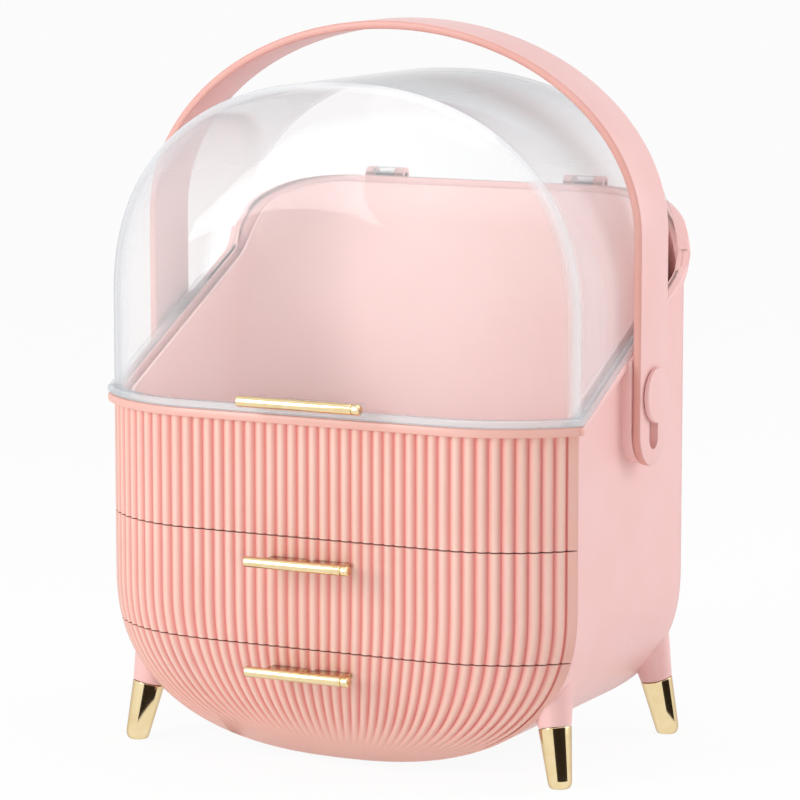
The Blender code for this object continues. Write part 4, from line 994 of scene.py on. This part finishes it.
def bar_profile(length, radius):
    """A bar with rounded ends and a fine groove near the right one."""
    half = length / 2
    end = [(half - BAR_END, radius), (half - BAR_MIDWAY, radius - BAR_MIDWAY_IN), (half, radius - BAR_END)]
    end.append((half, 0))
    near, far, floor = half - BAR_CAP - GROOVE_WIDTH, half - BAR_CAP, radius - GROOVE_DEPTH
    groove = [(near, radius), (near, floor), (far, floor), (far, radius)]
    return [(-h, r) for h, r in reversed(end)] + groove + end


def bar(bm, length, radius, y, z):
    """A bar along X in front of the body."""
    place = Matrix.Translation((0, y, z)) @ Matrix.Rotation(math.pi / 2, 4, "Y")
    turned(bm, rounded(bar_profile(length, radius), BAR_SOFT), place)


def add_block(bm, low, high):
    """A plain block between two corners, to be eased afterwards."""
    size, middle = Vector(high) - Vector(low), (Vector(high) + Vector(low)) / 2
    bmesh.ops.create_cube(bm, size=1, matrix=Matrix.Translation(middle) @ Matrix.Diagonal((*size, 1)))


def drawer_pull(level):
    """A bar and the two flat tongues that reach back to the drawer front."""
    y, z = FRONT_FLAT - PULL_OUT, PULL_Z[level]
    bm = bmesh.new()
    bar(bm, PULL_LENGTH, PULL_RADIUS, y, z)
    start = y + PULL_RADIUS - TONGUE_BITE
    back = -CREASE - swell(BELLY.depth(0, z)) - RIB_CREST - GAP
    for side in (-1, 1):
        left, right = sorted((side * TONGUE_NEAR, side * TONGUE_FAR))
        add_block(bm, (left, start, z - TONGUE_BELOW), (right, back, z + TONGUE_ABOVE))
    return shade(ease(to_object(f"{level}_pull", bm, gold), TONGUE_SOFT, 2, 60), 45)


def hood_bar():
    """The gold bar on the hood's tab."""
    bm = bmesh.new()
    bar(bm, HOOD_PULL_LENGTH, HOOD_PULL_RADIUS, FRONT_FLAT - HOOD_PULL_OUT, HOOD_PULL_Z)
    return shade(to_object("hood_bar", bm, gold), 45)


def hood_tab():
    """The clear tab that carries the bar."""
    bm = bmesh.new()
    y = FRONT_FLAT - HOOD_PULL_OUT + HOOD_PULL_RADIUS - TAB_BITE
    low = (-TAB_HALF, y, HOOD_PULL_Z - TAB_THICK_HALF)
    add_block(bm, low, (TAB_HALF, FRONT_FLAT - TAB_CLEAR, HOOD_PULL_Z + TAB_THICK_HALF))
    return shade(ease(to_object("hood_tab", bm, clear), TAB_SOFT, 2, 60), 45)


for level in ("upper", "lower"):
    finish_piece(drawer_pull(level), f"{level}_drawer", f"{level}_drawer_pull")
finish_piece(hood_bar(), "hood", "hood_pull_bar")
finish_piece(hood_tab(), "hood")

# %% [markdown]
# ## The hinge at the back
#
# The hood turns on two short pins. Each pin runs through a knuckle of the hood that sits between two lugs of
# the shell. Knuckle and lug share one outline: a round eye with a web to the rim.

# %% Knuckles and lugs
HINGE_Y = CREASE + BULGE + LIP_OUT + 4.4 * MM
HINGE_X, KNUCKLE, LUG = 61 * MM, 11.2 * MM, 6 * MM
EYE_RADIUS, EYE_STEPS, WEB_OVERLAP, WEB_CLEAR = 4 * MM, 24, 1.8 * MM, 0.4 * MM
LUG_CLEAR, HINGE_SOFT = 0.4 * MM, 0.3 * MM


def eye_outline(way):
    """Outline of a hinge eye with its web; way is -1 for the shell's lugs and 1 for the hood's knuckle."""
    start, reach = CREASE + BULGE + LIP_OUT - WEB_OVERLAP, EYE_RADIUS - GAP
    points = [(start, RIM_BACK + way * WEB_CLEAR), (start, RIM_BACK + way * reach)]
    first, last = math.asin(reach / EYE_RADIUS), math.asin(WEB_CLEAR / EYE_RADIUS)
    for n in range(EYE_STEPS + 1):
        angle = math.pi - first - (math.tau - first + last) * n / EYE_STEPS
        across, up = EYE_RADIUS * math.cos(angle), EYE_RADIUS * math.sin(angle)
        points.append((HINGE_Y + across, RIM_BACK + way * up))
    return points


knuckles, lugs = bmesh.new(), bmesh.new()
for side in (-1, 1):
    add_prism(knuckles, eye_outline(1), side * HINGE_X - KNUCKLE / 2, side * HINGE_X + KNUCKLE / 2)
    for way in (-1, 1):
        near = side * HINGE_X + way * (KNUCKLE / 2 + LUG_CLEAR)
        add_prism(lugs, eye_outline(-1), *sorted((near, near + way * LUG)))
finish_piece(shade(ease(to_object("hood_knuckles", knuckles, clear), HINGE_SOFT, 2, 50)), "hood")
finish_piece(shade(ease(to_object("hinge_lugs", lugs, pale_abs), HINGE_SOFT, 2, 50)), "body")

# %% [markdown]
# ## Pivot covers and legs
#
# A round cover hides each pivot of the handle. Under the body four stubs lean outward, part of the shell,
# and each carries a tapered gold tip. The tips are one turned shape placed four times, so Geometry Nodes put
# it at four points, each with its own lean.

# %% Covers, stubs and pads
DISC_FACE, DISC_RADIUS, DISC_THICK, DISC_SOFT = 149.25 * MM, 14.5 * MM, 2.8 * MM, 1.1 * MM
LEG_X, LEG_Y, LEG_REAR_Y, LEAN_X, LEAN_Y = 126.2 * MM, 65.3 * MM, 76.5 * MM, 10, 8.5
TIP_LENGTH, TIP_FOOT = 32.2 * MM, 4.2 * MM
STUB_PROFILE = ((0, 8.7 * MM), (8 * MM, 9.8 * MM), (16 * MM, 11 * MM), (30 * MM, 12.8 * MM))
LEG_SOFT = 0.5 * MM
PAD_LOW, PAD_HALF, PAD_STEPS, PAD_UNDER, PAD_SOFT = 160 * MM, 19 * MM, 24, 0.6 * MM, 0.6 * MM


def pivot_cover(side, name):
    """A pivot cover with a soft edge, and its neck into the shell."""
    bm = bmesh.new()
    face, neck = DISC_FACE - DISC_THICK, HALF_WIDTH - SHELL_WALL + GAP
    profile = [(DISC_FACE, DISC_RADIUS), (face, DISC_RADIUS), (face, PIVOT_RADIUS), (neck, PIVOT_RADIUS)]
    place = Matrix.Translation((0, PIVOT_Y, PIVOT_Z)) @ Matrix.Rotation(side * math.pi / 2, 4, "Y")
    turned(bm, rounded(to_axis(profile), DISC_SOFT, 5), place)
    return shade(to_object(f"pivot_cover_{name}", bm, pale_abs))


def leg_frame(side, end):
    """A frame at the foot of a leg whose Z axis leans inward as the leg does."""
    across, along = math.tan(math.radians(LEAN_X)), math.tan(math.radians(LEAN_Y))
    lean = Vector((-side * across, -end * along, 1)).normalized()
    away = LEG_REAR_Y if end > 0 else LEG_Y
    foot = Vector((side * LEG_X, end * away, -TIP_FOOT * math.sqrt(1 - lean.z**2)))
    return Matrix.Translation(foot) @ lean.to_track_quat("Z", "Y").to_matrix().to_4x4()


def leg_stubs():
    """The stubs, a little flared where they run into the belly."""
    bm = bmesh.new()
    profile = to_axis([(TIP_LENGTH + GAP + up, radius) for up, radius in STUB_PROFILE])
    for corner in sorted(CORNERS):
        turned(bm, rounded(profile, LEG_SOFT, 3), leg_frame(*corner))
    return shade(to_object("leg_stubs", bm, pale_abs))


def handle_pads():
    """The raised pads under the handle's ends."""
    bm = bmesh.new()
    outline = []
    for n in range(PAD_STEPS + 1):
        angle = math.pi + math.pi * n / PAD_STEPS
        outline.append((PIVOT_Y + PAD_HALF * math.cos(angle), PAD_LOW + PAD_HALF * (1 + math.sin(angle))))
    outline += [(y, rim_height(y) - PAD_UNDER) for y in (PIVOT_Y + PAD_HALF, PIVOT_Y - PAD_HALF)]
    for side in (-1, 1):
        ends = side * (HALF_WIDTH - SHELL_WALL / 2), side * (HANDLE_HALF - HANDLE_THICK - GAP)
        add_prism(bm, outline, *sorted(ends))
    return shade(ease(to_object("handle_pads", bm, pale_abs), PAD_SOFT, 3, 40))


CORNERS = [(side, end) for end in (-1, 1) for side in (-1, 1)]
for side, name in ((-1, "left"), (1, "right")):
    finish_piece(pivot_cover(side, name), "handle_pivots", f"pivot_disc_{name}")
finish_piece(leg_stubs(), "body")
finish_piece(handle_pads(), "body")

# %% Leg tips placed by a geometry tree
TIP_PROFILE = ((0, 3.6 * MM), (0.7 * MM, 4.9 * MM), (2.2 * MM, 5.9 * MM), (4 * MM, 6.35 * MM))
TIP_TOP_RADIUS = 8.7 * MM


def tip_shape():
    """One gold tip, upright at the origin."""
    bm = bmesh.new()
    profile = to_axis([*TIP_PROFILE, (TIP_LENGTH, TIP_TOP_RADIUS)])
    turned(bm, rounded(profile, LEG_SOFT), Matrix.Identity(4))
    return shade(to_object("tip_shape", bm, gold, move=False))


def copies_at_points(name, shape, places, material):
    """Puts a shape at frames, given as points with a turn, through a geometry tree that ends as a mesh."""
    mesh = bpy.data.meshes.new(name)
    mesh.from_pydata([tuple(place.translation + Vector((0, SHIFT, 0))) for place in places], [], [])
    turns = mesh.attributes.new("turn", "FLOAT_VECTOR", "POINT")
    for number, place in enumerate(places):
        turns.data[number].vector = place.to_euler()
    piece = bpy.data.objects.new(name, mesh)
    bpy.context.scene.collection.objects.link(piece)
    tree, given = geometry_tree(f"{name}_tree", "NodeSocketObject", {"Shape": None})
    info = node(tree, "GeometryNodeObjectInfo", {"Object": given["Shape"]}).outputs["Geometry"]
    turn = node(tree, "GeometryNodeInputNamedAttribute", {"data_type": "FLOAT_VECTOR", "Name": "turn"})
    copies = {"Points": given["Geometry"], "Instance": info, "Rotation": turn.outputs["Attribute"]}
    put = node(tree, "GeometryNodeInstanceOnPoints", copies)
    modifier = piece.modifiers.new("copies", "NODES")
    modifier.node_group = close_tree(tree, put.outputs["Instances"], material)
    socket = next(s for s in tree.interface.items_tree if s.name == "Shape")
    modifier[socket.identifier] = shape
    piece = bake(piece)
    bpy.data.objects.remove(shape)
    return piece


tips = copies_at_points("gold_leg_tips", tip_shape(), [leg_frame(*corner) for corner in CORNERS], gold)
for vert in tips.data.vertices:
    vert.co.z = max(vert.co.z, 0)
names = [f"leg_tip_{e}_{s}" for e in ("front", "rear") for s in ("left", "right")]
finish_piece(tips, "body", *names)

# %% [markdown]
# ## Inside the box
#
# Under the hood stands a deep open tray, screwed to ledges in the shell. It follows the outline of the box a
# few millimetres in, so a groove shows all round between tray and rim.

# %% The tray under the hood
TRAY_FLOOR, TRAY_INSET, TRAY_WALL, TRAY_SOFT, TRAY_ROWS = 129.3 * MM, 7.5 * MM, 2 * MM, 0.5 * MM, 8


def tray_plan():
    """Plan outline of the box moved inward, as x and y, clockwise from the right end of the flat back."""
    radius, wide = ARC_RADIUS - TRAY_INSET, HALF_WIDTH - TRAY_INSET
    turn = math.acos(ARC_DROP / radius)
    corner = []
    for n in range(ARC_COLUMNS + 1):
        angle = turn * n / ARC_COLUMNS
        x, y = FLAT_HALF + radius * math.sin(angle), CREASE + radius * math.cos(angle) - ARC_DROP
        corner.append((min(x, wide), y))
    side = [(wide, -y) for y in side_places(SIDE_COLUMNS)[1:-1]]
    right = corner + side + [(x, -y) for x, y in reversed(corner)]
    return right + [(-x, y) for x, y in reversed(right)]


def basin():
    """The tray's walls and floor as one open sheet."""
    bm = bmesh.new()
    rows = []
    for n in range(TRAY_ROWS + 1):
        share = n / TRAY_ROWS
        rows.append([(x, y, TRAY_FLOOR + (rim_height(y) - GAP - TRAY_FLOOR) * share) for x, y in tray_plan()])
    bm.faces.new(add_sheet(bm, rows, closed=True)[0])
    return bm


tray = thicken(to_object("inner_tray", basin(), inner_abs), TRAY_WALL)
finish_piece(shade(ease(tray, TRAY_SOFT, 2, 40)), "body", "upper_tray")

# %% [markdown]
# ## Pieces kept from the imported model
#
# The drawer trays, the shelf, and the screws, studs and pins keep their solids. They get the same finishes
# as the pieces around them.

# %% Finishes for the kept pieces
KEPT = {"drawer_tray": inner_abs, "drawer_shelf": inner_abs, "screw": zinc, "stud": zinc, "hinge_pin": zinc}
dressed = []
for name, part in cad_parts.items():
    for word, material in KEPT.items():
        if word in name:
            part.data.materials.clear()
            part.data.materials.append(material)
            dressed.append(name)
print("kept:", len(dressed), "solids")

# %% [markdown]
# ## The studio
#
# The picture was taken against plain white with large soft lights. The floor curves up behind the object
# without an edge. It glows for the camera and in reflections, which keeps it white, and a small share of
# matt paper in it still lets a soft shadow gather round the feet.

# %% The floor
AZIMUTH, ELEVATION, DISTANCE = 26.75, 8.38, 2.1435
TARGET = Vector((0.25 * MM, 5.05 * MM, 184.45 * MM))
GLOW_SHARE = 0.93
FLOOR_NEAR, FLOOR_FAR, FLOOR_HALF, FLOOR_BEND, FLOOR_TOP, FLOOR_STEPS = -4.0, 2.0, 5.0, 1.5, 5.0, 16


def any_ray(tree, *kinds):
    """1 for rays of the named kinds and 0 for all others."""
    rays = node(tree, "ShaderNodeLightPath").outputs
    found = rays[f"Is {kinds[0]} Ray"]
    for kind in kinds[1:]:
        either = {"operation": "MAXIMUM", 0: found, 1: rays[f"Is {kind} Ray"]}
        found = node(tree, "ShaderNodeMath", either).outputs[0]
    return found


def studio_white():
    """White paper that stays white to the camera and in reflections, and still takes a soft shadow."""
    material, tree = new_material("studio_paper", "FFFFFF")
    seen = any_ray(tree, "Camera", "Glossy", "Transmission")
    share = node(tree, "ShaderNodeMath", {"operation": "MULTIPLY", 0: seen, 1: GLOW_SHARE}).outputs[0]
    paper = node(tree, "ShaderNodeBsdfDiffuse", {"Color": colour("F7F6F5")}).outputs["BSDF"]
    glow = node(tree, "ShaderNodeEmission", {"Color": colour("FFFFFF"), "Strength": 1.0}).outputs["Emission"]
    mix = node(tree, "ShaderNodeMixShader", {0: share, 1: paper, 2: glow})
    node(tree, "ShaderNodeOutputMaterial", {"Surface": mix.outputs[0]})
    return material


def backdrop():
    """A floor that curves up behind the object, square to the camera."""
    bm = bmesh.new()
    profile = [(FLOOR_NEAR, 0)]
    for n in range(FLOOR_STEPS + 1):
        angle = math.pi / 2 * n / FLOOR_STEPS
        profile.append((FLOOR_FAR + FLOOR_BEND * math.sin(angle), FLOOR_BEND * (1 - math.cos(angle))))
    profile.append((FLOOR_FAR + FLOOR_BEND, FLOOR_TOP))
    turn = Matrix.Rotation(math.radians(AZIMUTH), 4, "Z")
    add_sheet(bm, [[turn @ Vector((x, y, z)) for x in (-FLOOR_HALF, FLOOR_HALF)] for y, z in profile])
    floor = to_object("studio_floor", bm, studio_white(), move=False)
    shade(floor)


backdrop()
print("floor bends", FLOOR_FAR, "m behind the object")

# %% [markdown]
# Four lamps light the object: a tall one at the left, a low and wide one in front, which would show as a
# stripe in the plating and is hidden from reflections, one at the far right and one overhead. Each is a
# large area, because a small lamp would cast a hard shadow.

# %% The lamps
LAMPS = (
    ("key_left", -30, 19, 1.6, (0.5, 1.0), 12.5, "FFFFFF"),
    ("low_fill", 36, 2, 2.3, (1.4, 0.5), 10, "FFFFFF"),
    ("side_right", 122, 20, 1.5, (0.8, 1.2), 9, "FFF8FA"),
    ("top", 0, 85, 1.5, (1.0, 1.0), 6, "FFFFFF"),
)


def stand(azimuth, elevation, distance):
    """A frame whose Z axis points away from the object, at two angles in degrees and a distance."""
    a, e = math.radians(azimuth), math.radians(elevation)
    way = Vector((math.sin(a) * math.cos(e), -math.cos(a) * math.cos(e), math.sin(e)))
    return Matrix.Translation(TARGET + way * distance) @ way.to_track_quat("Z", "Y").to_matrix().to_4x4()


def area_light(name, azimuth, elevation, distance, size, power, tint):
    """A large soft lamp that faces the object."""
    data = bpy.data.lights.new(name, "AREA")
    data.shape, data.size, data.size_y = "RECTANGLE", size[0], size[1]
    data.energy = power
    data.color = colour(tint)[:3]
    lamp = bpy.data.objects.new(name, data)
    lamp.matrix_world = stand(azimuth, elevation, distance)
    bpy.context.scene.collection.objects.link(lamp)
    return lamp


lamps = {row[0]: area_light(*row) for row in LAMPS}
lamps["low_fill"].visible_glossy = False
print("lamps:", ", ".join(lamps))

# %% [markdown]
# A white studio leaves plated metal without shape, so dark cards stand round it. One large card takes light
# away from the right side and is hidden from the camera and from reflections. A curved strip stands round
# each foot, and only reflections see it: it makes the dark bands in the gold tips.

# %% Dark cards
SIDE_CARD = (52, 9, 2.5, (5.2, 1.0))
FOOT_CARD_HEIGHT, FOOT_CARD_STEPS = 55 * MM, 12
FOOT_CARDS = {-1: (60 * MM, (4, 98)), 1: (42 * MM, (48, 112))}
CARD_MOTTLE = 40.0


def dark_card(name, reflected):
    """Matt dark card with the faint mottle of paper, met by reflections alone or by soft light alone."""
    material, tree = new_material(name, "3A3836")
    place = node(tree, "ShaderNodeTexCoord").outputs["Object"]
    mottle = node(tree, "ShaderNodeTexNoise", {"Scale": CARD_MOTTLE, "Vector": place}).outputs["Fac"]
    tone = node(tree, "ShaderNodeValToRGB", {"Fac": mottle, "stops": ((0.3, "34322F"), (0.7, "3E3C3A"))})
    skin = node(tree, "ShaderNodeBsdfDiffuse", {"Color": tone.outputs["Color"]}).outputs["BSDF"]
    air = node(tree, "ShaderNodeBsdfTransparent").outputs["BSDF"]
    if reflected:
        choice = {0: any_ray(tree, "Glossy"), 1: air, 2: skin}
    else:
        choice = {0: any_ray(tree, "Glossy", "Camera"), 1: skin, 2: air}
    mix = node(tree, "ShaderNodeMixShader", choice)
    node(tree, "ShaderNodeOutputMaterial", {"Surface": mix.outputs[0]})
    return material


def side_card(name, azimuth, elevation, distance, size):
    """A large flat card that faces the object."""
    place = stand(azimuth, elevation, distance)
    across, up = size[0] / 2, size[1] / 2
    bm = bmesh.new()
    add_sheet(bm, [[place @ Vector((x, y, 0)) for x in (-across, across)] for y in (-up, up)])
    to_object(name, bm, dark_card("dark_studio_card", False), move=False)


def foot_card(name, corner, radius, turn):
    """A curved strip of dark card round one foot."""
    middle = leg_frame(*corner).translation
    bm = bmesh.new()
    rows = []
    for n in range(FOOT_CARD_STEPS + 1):
        angle = math.radians(turn[0] + (turn[1] - turn[0]) * n / FOOT_CARD_STEPS)
        x, y = middle.x + radius * math.sin(angle), middle.y - radius * math.cos(angle)
        rows.append([Vector((x, y, z)) for z in (0, FOOT_CARD_HEIGHT)])
    add_sheet(bm, rows)
    to_object(name, bm, foot_dark)


side_card("dark_side_of_the_studio", *SIDE_CARD)
foot_dark = dark_card("dark_foot_card", True)
for number, corner in enumerate(CORNERS):
    foot_card(f"foot_card_{number + 1}", corner, *FOOT_CARDS[corner[1]])
print("foot cards:", len(CORNERS))

# %% [markdown]
# The air round the studio is white to the camera and in reflections, and gives a softer light than that to
# the object. The camera stands low in front, a little to the right, with a long lens that keeps the box's
# lines nearly parallel.

# %% Air and camera
AIR_LIGHT = 0.48
LENS, SENSOR, CLIP_END = 180.05, 36, 20
world = bpy.data.worlds.new("studio_world")
bpy.context.scene.world = world
world.use_nodes = True
air = world.node_tree.nodes["Background"]
air.inputs["Color"].default_value = colour("FFFFFF")
seen = any_ray(world.node_tree, "Camera", "Glossy", "Transmission")
strength = node(world.node_tree, "ShaderNodeMapRange", {"To Min": AIR_LIGHT, "To Max": 1.0, "Value": seen})
world.node_tree.links.new(strength.outputs["Result"], air.inputs["Strength"])

camera_data = bpy.data.cameras.new("camera")
camera_data.lens = LENS
camera_data.sensor_width = SENSOR
camera_data.clip_end = CLIP_END
camera = bpy.data.objects.new("camera", camera_data)
camera.matrix_world = stand(AZIMUTH, ELEVATION, DISTANCE)
bpy.context.scene.collection.objects.link(camera)
bpy.context.scene.camera = camera
bpy.context.scene.view_settings.view_transform = "Standard"
print("camera at", [round(c, 3) for c in camera.location])
